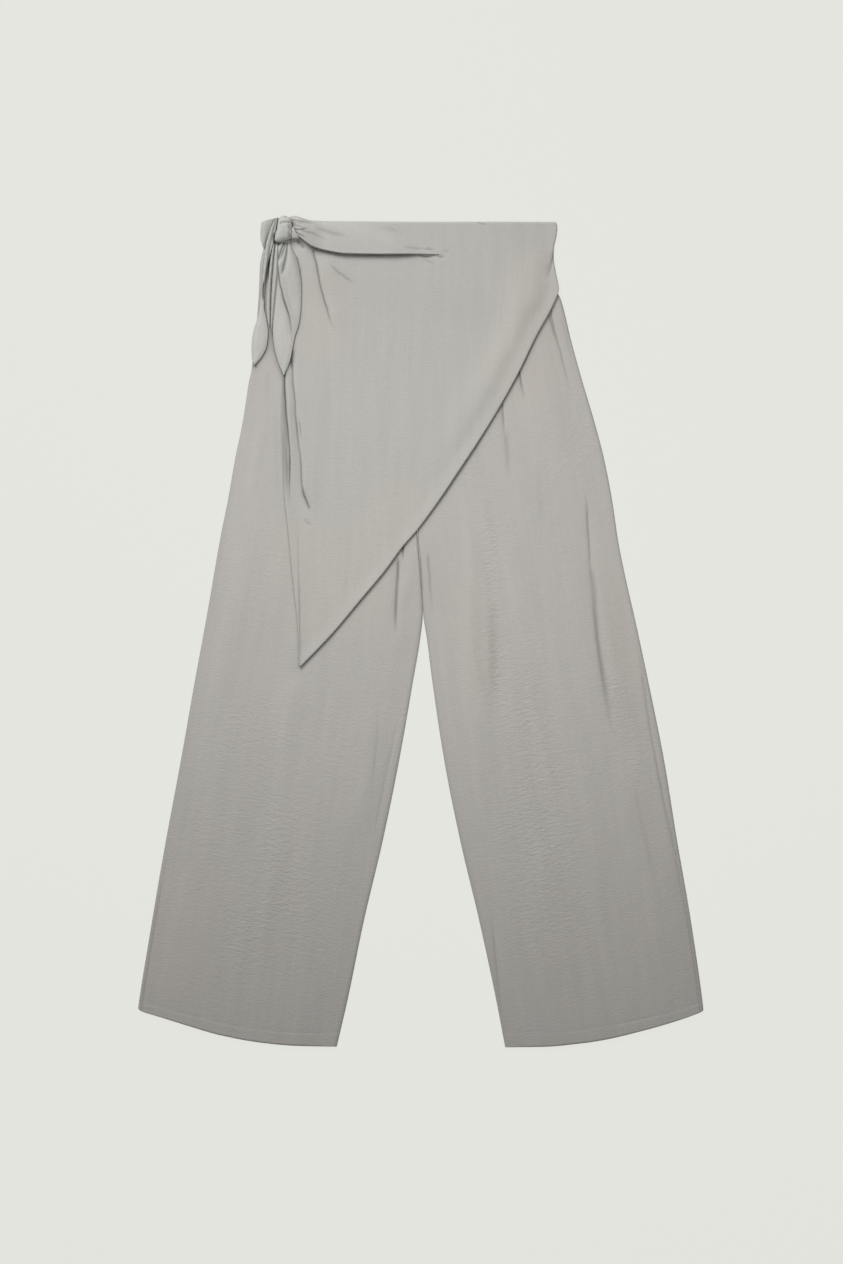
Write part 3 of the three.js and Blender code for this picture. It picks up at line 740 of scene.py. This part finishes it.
def crinkle_satin(name, grain, tints):
    """Crinkle satin: cross ripples, fine lengthwise streaks and a close weave. grain turns the cloth's
    length away from the Y axis, in degrees."""
    material, tree, shader = new_material("crinkle_satin_" + name)
    feed(shader, SATIN_GLOSS)
    coordinates = node(tree, "TexCoord", {}, "Object")
    place = node(tree, "Mapping", {"Vector": coordinates, "Rotation": (0, 0, math.radians(grain))})

    cross = cloth_noise(tree, place, CROSS_CELLS, distortion=0.5)
    fine = cloth_noise(tree, place, FINE_CELLS, distortion=0.4)
    streaks = cloth_noise(tree, place, STREAK_CELLS)
    broad = cloth_noise(tree, place, BROAD_CELLS)
    tone = cloth_noise(tree, place, TONE_CELLS, detail=3)
    threads = node(tree, "Math", {0: weave(tree, place, "X"), 1: weave(tree, place, "Y")}, operation="ADD")

    normal = bump(tree, cross, 0.00115, attribute(tree, "ripple"))
    normal = bump(tree, fine, 0.0007, Normal=normal)
    normal = bump(tree, streaks, 0.0003, Normal=normal)
    normal = bump(tree, threads, 0.00003, Normal=normal)

    warmth = attribute(tree, "warmth")
    tinted = node(tree, "Math", {0: broad, 1: WARM_SHARE, 2: warmth}, operation="MULTIPLY_ADD")
    colour = tint_ramp(tree, tinted, reversed(tints), TINT_STOPS)
    middle = {"From Min": 0.3, "From Max": 0.7}
    slow = spread(tree, tone, 0.975, 1.025, **middle)
    quick = spread(tree, streaks, 0.99, 1.01, **middle)
    # Painted shade: the fold_shade attribute darkens the colour in creases, as shadows round pieces that
    # lie on top, and at edges
    lit = spread(tree, attribute(tree, "fold_shade"), 1, FOLD_DARK)
    light = product(tree, product(tree, slow, quick), lit)
    scaled = node(tree, "VectorMath", {0: colour, "Scale": light}, operation="SCALE")
    feed(shader, {"Normal": normal, "Base Color": scaled, "Roughness": spread(tree, cross, 0.46, 0.6)})
    return material


def thread_finish():
    material, tree, shader = new_material("sewing_thread")
    twist = cloth_noise(tree, node(tree, "TexCoord", {}, "Object"), TWIST_CELLS)
    colour = tint_ramp(tree, twist, THREAD_TINTS)
    feed(shader, {"Base Color": colour, "Normal": bump(tree, twist, 0.0001, 0.6), "Roughness": 0.6})
    return material


FINISH = {
    "leg_right": crinkle_satin("leg_right", LEG_GRAIN, LEG_TINTS),
    "leg_left": crinkle_satin("leg_left", -LEG_GRAIN, LEG_TINTS),
    "wrap": crinkle_satin("wrap", WRAP_GRAIN, WRAP_TINTS),
    "tie": crinkle_satin("tie", TIE_GRAIN, TIE_TINTS),
    "thread": thread_finish(),
}


def attach(piece, finish):
    piece.data.materials.append(FINISH[finish])
    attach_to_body(piece, "root")


def dress(made, finish, replaced):
    """Gives a piece its finish, hangs it on the root body and hides the part of the model that it stands
    for.
    """
    piece, grid = made
    attach(piece, finish)
    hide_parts(replaced)


# Leg panels
SIDE_RUN = 3.4
HEM_RUN = 2.6
CORNER = 3.4
RIM = 1
EDGE_STEPS = [0, 0.2, 0.55, 1.1, 1.9, 3, 4.4, 6.2]
HEM_BAND = 18
HEM_BEND_START = 800
HEM_STEPS = [0, 0.15, 0.45, 0.9, 1.6, 2.5, 3.6, 5, 7, 9.4, 12, 14.4, 16.4, 18, 19.6, 22]
PANEL_WIDTH = 260
FRONT_CELLS = (1.3, 2.75)
BACK_CELLS = (5, 8)
BACK_INSET = 0.7
SEAM_HALF = 0.15
SEAM_LINE = 4.4
UNDER_EVERY = 3
LEG_EDGES = {"right": (outer_right, inseam_right, hem_right), "left": (outer_left, inseam_left, hem_left)}


def columns_across(width, cell):
    """Distances across a panel, from 0 to 1, close together at both edges. Their number suits shell."""
    edge = np.array(EDGE_STEPS) / width
    count = int(width / cell)
    count += (1 - (count + 2 * len(edge) - 2)) % UNDER_EVERY
    middle = np.linspace(edge[-1], 1 - edge[-1], count)
    return np.concatenate([edge[:-1], middle, (1 - edge[:-1])[::-1]])


def leg_places(side, cell, row_step, inset=0):
    """Places of a leg panel's points, their rows' drops, and how far they are from its side and seam."""
    outward = -1 if side == "right" else 1
    outer, inseam, hem = LEG_EDGES[side]
    near_hem = HEM_DROP - np.array(HEM_STEPS[::-1])
    count = int((near_hem[0] - row_step) / row_step)
    count += (1 - (count + len(near_hem))) % UNDER_EVERY
    above = np.linspace(2 * WAIST_INSET, near_hem[0] - row_step, count)
    rows = np.concatenate([above, near_hem])[:, None]
    bend = np.clip((rows - HEM_BEND_START) / (HEM_DROP - HEM_BEND_START), 0, 1) ** 2
    to_corner = np.clip(CORNER - (HEM_DROP - rows), 0, CORNER)
    drawn_in = inset + CORNER - np.sqrt(CORNER ** 2 - to_corner ** 2)
    outer_x = outer(rows - (HEM_DROP - HEM_SIDE_DROP) * bend) - outward * drawn_in
    seam_x = inseam(rows) + outward * (SEAM_HALF + inset)
    left, right = (outer_x, seam_x) if outward < 0 else (seam_x, outer_x)
    x = mix(left, right, columns_across(PANEL_WIDTH, cell))
    drop = rows + (hem(x) - HEM_DROP) * bend
    return x, drop, np.broadcast_to(rows, x.shape), np.abs(x - outer_x), np.abs(x - seam_x)


def leg_front(side):
    x, drop, row, from_side, from_seam = leg_places(side, *FRONT_CELLS)
    to_hem = HEM_DROP - row
    top = leg_top(x, drop) + 0.14 * smooth(HEM_BAND + 2, HEM_BAND - 2, to_hem)
    top = top - 0.3 * bell(to_hem - HEM_BAND, 1.4) * (0.6 + 0.4 * noise(x, drop, 26, 26, 17))
    top = round_off(top, RIM + 2.2, to_hem, HEM_RUN)
    open_leg = smooth(CROTCH_DROP - 90, CROTCH_DROP + 10, drop)
    seam_rim = mix(top - 2.8, RIM, open_leg)
    top = round_off(top, seam_rim, from_seam, mix(2, SIDE_RUN + 1.6, open_leg))
    top = round_off(top, RIM, from_side, SIDE_RUN)
    seam_line = fall(np.abs(from_side - SEAM_LINE), 0.9) * (0.2 + 0.8 * smooth(800, 880, drop))
    top = top - 0.5 * seam_line * smooth(1, 3, from_side)

    # Painted shadows beside the wrap's edges, darker under its slanting hem, and beside the ties
    outside_left = np.abs(wrap_edge(drop) - x)
    outside_right = np.abs(x - wrap_right(drop)) * HEM_LEAN
    under_hem = 0.3 + 0.62 * smooth(95, 190, drop)
    beside_wrap = np.maximum(0.24 * fall(outside_left, 1.2), under_hem * fall(outside_right, 1.9))
    beside_wrap *= smooth(WRAP_TIP_DROP + 3, WRAP_TIP_DROP - 3, drop)
    beside_side_tie = outline_shade(SIDE_TIE, x, drop, run=2, most=0.62)
    beside_side_tie *= mix(1, 0.2, (x < SIDE_TIE[0](drop)) * smooth(140, 100, drop))
    near_tips = 0.24 * smooth(110, 150, drop)
    # Painted shade that darkens the colour: in creases, as shadows beside the wrap, beside the ties and in
    # the gap between them; also darker along the seams and the sides
    shade = with_shade(
        crease_shade(LEG_CREASES, x, drop),
        beside_wrap,
        beside_side_tie,
        relief(TIE_GAP_SHADE, x, drop),
        outline_shade(FRONT_TIE, x, drop, run=2, most=0.46),
        *[outline_shade(tie, x, drop, run=5, most=near_tips) for tie in (FRONT_TIE, SIDE_TIE)],
        0.36 * bell(from_seam, 1.5) * smooth(330, 400, drop) * (1 - open_leg),
        0.21 * fall(from_seam, 2.4) * open_leg,
        0.21 * fall(from_side, 1.4),
        0.22 * seam_line,
    )
    ripple = ripple_strength(x, drop)
    return wall(f"front_{side}", x, drop, top, ripple=ripple, every=UNDER_EVERY, shade=shade)


def leg_back(side):
    x, drop, row, from_side, from_seam = leg_places(side, *BACK_CELLS, BACK_INSET)
    inner = smooth(6, 24, np.minimum(from_side, from_seam)) * smooth(0, 30, HEM_DROP - row)
    top = step_under_legs(x, drop) + relief(BACK_FOLDS, x, drop) * inner + THICKNESS
    return wall(f"back_{side}", x, drop, top, ripple=ripple_strength(x, drop))


for side in ("right", "left"):
    finish = f"leg_{side}"
    dress(leg_back(side), finish, f"leg_back_{side}")
    dress(leg_front(side), finish, f"leg_front_{side}")


# The wrap: front panel, part behind the waist, and the end that comes round into the knot
WRAP_TOP_ROWS = [WAIST_INSET, 1.1, 1.5, 2.2]
WRAP_LEFT_STEPS = np.concatenate([[0, 0.25], np.arange(0.6, 34, 0.5), np.arange(34, 62, 0.9)])
WRAP_RIGHT_STEPS = np.array([0, 0.15, 0.4, 0.8, 1.4, 2.2, 3.2, 4.6, 6.4, 8.4])
WRAP_MIDDLE = 134
WRAP_ROWS_ABOVE = 42
WRAP_ROWS_BELOW = 220
LEFT_SHARE = 0.55
RIGHT_SHARE = 0.25
TURN_RELEASE = (82, 66)
TURN_RUN = 1.6
LEFT_HEM = 14
BEHIND_WIDTH = 370
BEHIND_CELL = 5
BEHIND_ROWS = 22
BEHIND_INSET = 0.6
END_EDGE = [0, 0.008, 0.02, 0.04, 0.07, 0.1]
END_RIGHT = -171
END_LOW = 33
END_TURN = 4.2


def wrap_places():
    """Places of the wrap's points, and how far they are from its left and right edges."""
    rows = np.concatenate([
        WRAP_TOP_ROWS,
        np.linspace(3.6, WRAP_CORNER_DROP, WRAP_ROWS_ABOVE),
        np.linspace(WRAP_CORNER_DROP, WRAP_TIP_DROP, WRAP_ROWS_BELOW)[1:],
    ])[:, None]
    left, right = wrap_edge(rows), wrap_right(rows)
    width = right - left
    start = left + WRAP_LEFT_STEPS * np.minimum(1, width * LEFT_SHARE / WRAP_LEFT_STEPS[-1])
    from_right = WRAP_RIGHT_STEPS * np.minimum(1, width * RIGHT_SHARE / WRAP_RIGHT_STEPS[-1])
    end = right - from_right[:, ::-1]
    middle = mix(start[:, -1:], end[:, :1], np.linspace(0, 1, WRAP_MIDDLE + 2)[1:-1])
    x = np.concatenate([start, middle, end], axis=1)
    return x, np.broadcast_to(rows, x.shape), x - left, right - x


def wrap_left_lift(from_left, drop):
    return 0.6 * bell(from_left, 7) * smooth(150, 200, drop)


def wrap_front():
    x, drop, from_left, from_right = wrap_places()
    level = wrap_top(x, drop)
    side = round_off(level, RIM + 0.2, from_right, TURN_RUN)
    lift = (1.1 + 0.6 * noise(x, drop, 60, 60, 71)) * bell(from_right, 12)
    edge = level + lift - 0.4 * bell(from_right, 0.7)
    left_hem = fall(np.abs(x - wrap_hem_line(drop)), 0.9) * smooth(370, 420, drop)
    left_hem *= smooth(LEFT_HEM + 2, LEFT_HEM + 1, from_left) * smooth(0.6, 1.4, from_left)
    top = mix(edge, side, smooth(*TURN_RELEASE, drop)) + wrap_left_lift(from_left, drop)
    top = top - 0.25 * left_hem - 0.4 * bell(from_left, 0.6) - 0.9 * bell(drop - WAIST_INSET, 0.9)

    # Painted shadow under the roll's lower edge
    from_roll = drop - roll_low(x)
    below_roll = np.where(from_roll < 0, np.exp(from_roll / 1.5),
                          0.88 * fall(from_roll, 2.1) + 0.12 * fall(from_roll, 5))
    along_roll = smooth(30, -20, x) * (0.2 * smooth(-174, -158, x) + 0.8 * smooth(-146, -136, x))
    # Painted shade that darkens the colour: in creases, as shadows of the roll, the front tie and the knot,
    # on the strip by the left edge, at the edges and along the hem line
    shade = with_shade(
        crease_shade(WRAP_CREASES, x, drop),
        below_roll * along_roll,
        outline_shade(FRONT_TIE, x, drop, run=1.8, most=0.48 * smooth(100, 135, drop)),
        relief(WRAP_SHADES, x, drop),
        knot_shade(x, drop),
        0.15 * fall(from_left, 0.7),
        mix(0.04, 0.34, smooth(95, 190, drop)) * fall(from_right, 0.8),
        (0.12 + 0.24 * smooth(430, 500, drop)) * left_hem,
    )
    ripple = ripple_strength(x, drop) * WRAP_RIPPLE
    return wall("wrap_panel", x, drop, top, ripple=ripple, every=UNDER_EVERY, shade=shade)


def wrap_behind():
    parts = columns_across(BEHIND_WIDTH, BEHIND_CELL)
    low = wrap_back_hem(mix(wrap_back_hem.first, wrap_back_hem.last, parts))
    drop = mix(2 * WAIST_INSET, low, np.linspace(0, 1, BEHIND_ROWS)[:, None])
    x = mix(wrap_end_left(drop) + BEHIND_INSET, wrap_right(drop) - BEHIND_INSET, parts)
    return wall("wrap_behind", x, drop, np.full(x.shape, THICKNESS))


def wrap_end():
    parts = np.concatenate([END_EDGE, np.linspace(0.12, 1, 56)])
    downs = np.concatenate([[0, 0.02, 0.04], np.linspace(0.06, 0.96, 40), [0.98, 0.99, 1]])[:, None]
    left = wrap_end_left(END_LOW * downs)
    x = mix(left, END_RIGHT, parts)
    drop = mix(wrap_end_top(x), END_LOW, downs)
    level = wrap_level(x, np.maximum(drop, 0)) + relief(END_FOLDS, x, drop)
    top = mix(level, round_off(level, RIM + 0.2, x - left, END_TURN), smooth(28, 14, drop))
    # Painted shadows of the knot and the side tie
    shade = with_shade(knot_shade(x, drop), outline_shade(SIDE_TIE, x, drop, run=2.2, most=0.95))
    return wall("wrap_end_piece", x, drop, top, shade=shade)


dress(wrap_front(), "wrap", "wrap_front")
dress(wrap_behind(), "wrap", "wrap_back")
dress(wrap_end(), "wrap", "wrap_end")


# The rolled top of the wrap
ROLL_HEIGHT = 6
ROLL_KNOT_HEIGHT = 11.5
ROLL_PINCH = 6.5
ROLL_BEND = 2.2
ROLL_START = -166
ROLL_COARSE = -120
ROLL_END = 62
ROLL_FADE = (22, -36)
ROLL_LIFT = 0.5
ROLL_SINK = 2.4


def wrap_roll():
    fine = np.arange(ROLL_START, ROLL_COARSE, 0.8)
    stations = np.concatenate([fine, np.arange(ROLL_COARSE, ROLL_END + 0.1, 1.6)])
    top_edge, low_edge = roll_top(stations), roll_low(stations)
    from_knot = stations - ROLL_START
    bulge = smooth(2, 12, from_knot) * smooth(44, 14, from_knot)
    fade = smooth(*ROLL_FADE, stations)
    height = 1 + (mix(ROLL_HEIGHT, ROLL_KNOT_HEIGHT, bulge) - 1) * fade
    height = height - (ROLL_HEIGHT - ROLL_PINCH + 2) * smooth(7, 0, from_knot)
    sink = ROLL_SINK * smooth(10, 34, stations)
    radius = height / 2
    bend = np.minimum(radius, ROLL_BEND)
    # shades holds each row's painted shade: in creases and the knot's shadow on top, and darker under the
    # turned lower edge and where the roll tucks under
    rows, shades = [], []

    def under(drop):
        return wrap_level(stations, drop) + ROLL_LIFT - sink

    for part in np.concatenate([[0, 0.015, 0.04], np.linspace(0.08, 1, 34)]):
        drop = mix(top_edge, low_edge - bend, part)
        level = wrap_top(stations, np.maximum(drop, 0))
        early = smooth(-20 + 50 * part, -110 + 90 * part, stations)
        rise = height * np.sin(math.pi / 2 * mix(0.05, 1, part ** 0.6)) * early
        creases = relief(ROLL_CREASES, stations, drop) * smooth(0, 0.08, part)
        rows.append(world(stations, drop, level + rise - sink - 1.2 * (1 - early) + creases))
        shades.append(with_shade(crease_shade(ROLL_CREASES, stations, drop), knot_shade(stations, drop)))
    for turn in np.linspace(0, math.pi, 12)[1:]:
        drop = low_edge - bend + bend * np.sin(turn)
        rows.append(world(stations, drop, under(drop) + radius + radius * np.cos(turn)))
        shades.append(0.95 * smooth(0.5, 1.5, turn) * (1 - 0.6 * smooth(-20, 30, stations)))
    for tuck in (2, 5):
        drop = low_edge - bend - tuck
        rows.append(world(stations, drop, under(drop)))
        shades.append(np.full(stations.shape, 0.5))
    middle = np.array(rows)
    ripple = ripple_strength(middle[..., 0], WAIST_Y - middle[..., 1]) * WRAP_RIPPLE
    return thicken("wrap_roll_fold", middle, ripple=ripple, shade=np.array(shades))


dress(wrap_roll(), "wrap", "wrap_roll")


# The knot and the ties
KNOT_HEIGHT = 14
KNOT_BASE = 2
LOBE_HEIGHT = 9
LOBE_BASE = 1
PILLOW_TURN = (-0.2 * math.pi, 1.2 * math.pi, 48)
LEAF_EDGE = [0, 0.015, 0.04]
LEAF_HEM = 2.1
TIE_CROWN = 2
GATHER_CROWN = 1.4


def power(value, exponent):
    return np.sign(value) * np.abs(value) ** exponent


def pillow(name, edges, height, base, creases, slant=None):
    """A rounded pad between two edges, that curls under all round."""
    top, bottom = edges[0].first, edges[0].last
    turns = np.linspace(*PILLOW_TURN)[:, None]
    across = np.linspace(*PILLOW_TURN)
    drop = (top + bottom) / 2 - (bottom - top) / 2 * power(np.cos(turns), 0.75)
    left, right = edges[0](drop), edges[1](drop)
    x = (left + right) / 2 - (right - left) / 2 * power(np.cos(across), 0.7)
    drop = np.broadcast_to(drop, x.shape)
    if slant:
        drop = drop - slant(x, drop)
    dome, arch = power(np.sin(turns), 0.45), power(np.sin(across), 0.45)
    lift = np.where((dome > 0) & (arch > 0), dome * arch, np.minimum(dome, arch) * 0.4)
    level = tie_deck(x, np.clip(drop, 0, 29)) + base
    z = level + (height - base) * lift + relief(creases, x, drop) * smooth(0.1, 0.6, lift)
    # Painted shade in creases and where the pad curls under
    shade = with_shade(crease_shade(creases, x, drop), 0.55 * smooth(0.3, -0.05, lift))
    return thicken(name, world(x, drop, z), shade=shade)


def leaf(name, edges, rows, crown, level, detail, folds=()):
    """A tie end between two edges, with a soft crown, hemmed edges and its own folds."""
    parts = np.concatenate([LEAF_EDGE, np.linspace(0.075, 0.925, 35), [0.96, 0.985, 1]])
    rows = rows[:, None]
    left, right = edges[0](rows), edges[1](rows)
    width = right - left
    x = left + width * parts
    drop = np.broadcast_to(rows, x.shape)
    from_edge = np.minimum(x - left, right - x)
    hem = fall(np.abs(from_edge - LEAF_HEM), 0.5) * smooth(6, 12, width)
    arch = np.sin(math.pi * parts)
    top = level(x, drop) + CLOTH_STEP + crown * arch ** 0.6 - 0.4 * hem - 0.3 * bell(from_edge, 0.35)
    top = top + detail(drop, parts, arch) + relief(folds, x, drop) + 0.2 * noise(x, drop, 4, 14, 91)
    # Painted shade in folds, along the edges and the hem, and the knot's shadow
    shade = with_shade(
        crease_shade(folds, x, drop),
        0.1 * fall(from_edge, 0.4),
        0.07 * hem,
        knot_shade(x, drop),
    )
    return wall(name, x, drop, top, shade=shade)


def side_tie():
    rows = np.concatenate([np.arange(-4, 176, 1.4), [177.5, 179.5, 181, 182]])

    def level(x, drop):
        over_end = (CLOTH_STEP + GAP) * smooth(48, 34, drop)
        return leg_deck(x, np.maximum(drop, 0)) + GAP + over_end

    def detail(drop, parts, arch):
        return 4.2 * smooth(110, 20, drop) * (0.1 + 0.9 * smooth(0, 0.45, parts))

    return leaf("side_tie", SIDE_TIE, rows, TIE_CROWN, level, detail, SIDE_TIE_FOLDS)


def front_tie():
    rows = np.concatenate([np.arange(22, 188, 1.2), [189.5, 191.5, 193.5, 195]])

    def detail(drop, parts, arch):
        swell = smooth(24, 38, drop) * smooth(120, 44, drop)
        return (1.5 + 3 * swell) * arch ** 0.5 * smooth(150, 60, drop)

    return leaf("front_tie", FRONT_TIE, rows, TIE_CROWN, tie_deck, detail, FRONT_TIE_FOLDS)


def gather(number):
    """One of the narrow gathered folds between the two ties."""
    edges, lift = GATHERS[number]
    rows = np.arange(24, edges[0].last + 0.1, 1.5)

    def detail(drop, parts, arch):
        raised = lift + 2.6 * smooth(24, 40, drop)
        return raised * (1 - 0.6 * smooth(60, 140, drop)) * (0.25 + 0.75 * arch)

    return leaf(f"tie_gather_{number}", edges, rows, GATHER_CROWN, tie_deck, detail)


attach(pillow("knot_lobe", LOBE, LOBE_HEIGHT, LOBE_BASE, LOBE_CREASES)[0], "tie")
knot = pillow("knot", KNOT, KNOT_HEIGHT, KNOT_BASE, KNOT_CREASES, knot_slant)
dress(knot, "tie", "knot_band")
dress(side_tie(), "tie", "tie_side")
dress(front_tie(), "tie", "tie_front")
for number in GATHERS:
    pleat = f"tie_pleat_{number}"
    dress(gather(number), "tie", pleat)


# Stitching along the hems
STITCH_PITCH = 4.2
STITCH_LENGTH = 2.8
STITCH_STATIONS = np.array([[0, 0.35], [0.18, 0.9], [0.5, 1], [0.82, 0.9], [1, 0.35]])
STITCH_SIDES = 6
STITCH_SPAN = (112, 352)
EDGE_SPAN = (378, 546)


def stitches(name, line_x, line_drop, surface, width):
    """A row of stitches along a line on a surface, joined into one piece."""
    lengths = np.concatenate([[0], np.cumsum(np.hypot(np.diff(line_x), np.diff(line_drop)))])
    starts = np.arange(STITCH_PITCH, lengths[-1] - STITCH_PITCH, STITCH_PITCH)
    share, size = STITCH_STATIONS.T
    at = starts[:, None] + share * STITCH_LENGTH
    x, drop = np.interp(at, lengths, line_x), np.interp(at, lengths, line_drop)
    ahead_x, ahead_drop = x[:, -1:] - x[:, :1], drop[:, -1:] - drop[:, :1]
    length = np.hypot(ahead_x, ahead_drop)
    z = surface(x, drop) + 0.1 - 0.5 * (share - 0.5) ** 2
    angle = np.arange(STITCH_SIDES) * 2 * math.pi / STITCH_SIDES
    radius = width / 2 * size[:, None]
    out, up = np.cos(angle) * radius, np.sin(angle) * radius
    ring_x = x[..., None] + (ahead_drop / length)[..., None] * out
    ring_drop = drop[..., None] - (ahead_x / length)[..., None] * out
    vertices = world(ring_x, ring_drop, z[..., None] + up)
    index = np.arange(vertices[..., 0].size).reshape(vertices.shape[:3])
    around = np.roll(index, -1, axis=2)
    sides = np.stack([index[:, :-1], index[:, 1:], around[:, 1:], around[:, :-1]], axis=-1).reshape(-1, 4)
    ends = np.concatenate([index[:, 0], index[:, -1, ::-1]])
    attach(mesh_object(name, vertices.reshape(-1, 3), [sides, ends]), "thread")


def on_leg(x, drop):
    return leg_top(x, drop) - 0.15


def on_wrap(x, drop):
    return wrap_top(x, drop) + wrap_left_lift(x - wrap_edge(drop), drop) - 0.05


hem_places = np.linspace(*STITCH_SPAN, 120)
right_places = -hem_places[::-1]
stitches("hem_stitches_right", right_places, hem_right(right_places) - HEM_BAND, on_leg, width=0.4)
stitches("hem_stitches_left", hem_places, hem_left(hem_places) - HEM_BAND, on_leg, width=0.4)
edge_drops = np.linspace(*EDGE_SPAN, 80)
stitches("wrap_edge_stitches", wrap_hem_line(edge_drops), edge_drops, on_wrap, width=0.45)


# Floor, light and camera, in metres, with the lights' power in watts
PHOTO_HEIGHT = 1264
MM_PER_PIXEL = 1.27
AIM = (0.00095, -0.0006)
LENS = 85
SENSOR = 36
CLIP_END = 60
FLOOR_HALF = 30
FLOOR_Z = -0.0003
FLOOR_COLOUR = (0.783, 0.791, 0.745, 1)
FLOOR_GLOW = 1
FLOOR_MATT = 0.045
AMBIENT = 0.14
AMBIENT_COLOUR = (1, 1, 0.99, 1)
# Each light's place, target, size and power, and whether gloss shows it
LIGHTS = {
    "key": ((-1.05, 2.05, 1.75), (0, 0.2, 0), (1.1, 1.1), 55, True),
    "overhead": ((0.12, 0.1, 0.85), (0.12, 0.1, 0), (1.2, 0.3), 3.8, False),
}


def floor():
    mesh = bpy.data.meshes.new("floor")
    corners = [(x * FLOOR_HALF, y * FLOOR_HALF, FLOOR_Z) for x, y in ((-1, -1), (1, -1), (1, 1), (-1, 1))]
    mesh.from_pydata(corners, [], [(0, 1, 2, 3)])
    material, tree, unused = new_material("pale_floor")
    tree.nodes.remove(unused)
    glow = node(tree, "Emission", {"Color": FLOOR_COLOUR, "Strength": FLOOR_GLOW})
    matt = node(tree, "BsdfDiffuse", {"Color": FLOOR_COLOUR})
    both = node(tree, "MixShader", {0: FLOOR_MATT, 1: glow, 2: matt})
    feed(tree.nodes["Material Output"], {"Surface": both})
    mesh.materials.append(material)
    new_object("floor", mesh)


def area_light(name, place, target, size, power, in_gloss):
    light = bpy.data.lights.new(name, "AREA")
    light.shape = "RECTANGLE"
    light.size, light.size_y = size
    light.energy = power
    made = new_object(name, light)
    made.location = place
    made.rotation_euler = (Vector(target) - Vector(place)).to_track_quat("-Z", "Y").to_euler()
    made.visible_camera = False
    made.visible_glossy = in_gloss


def studio():
    scene = bpy.context.scene
    scene.view_settings.view_transform = "Standard"
    backdrop = bpy.data.worlds.new("studio")
    backdrop.use_nodes = True
    feed(backdrop.node_tree.nodes["Background"], {"Color": AMBIENT_COLOUR, "Strength": AMBIENT})
    scene.world = backdrop
    for name, settings in LIGHTS.items():
        area_light(name, *settings)


def camera():
    view = bpy.data.cameras.new("camera")
    view.lens = LENS
    view.sensor_width = SENSOR
    view.clip_end = CLIP_END
    made = new_object("camera", view)
    made.location = (*AIM, PHOTO_HEIGHT * MM_PER_PIXEL * MM * LENS / SENSOR)
    bpy.context.scene.camera = made


floor()
studio()
camera()
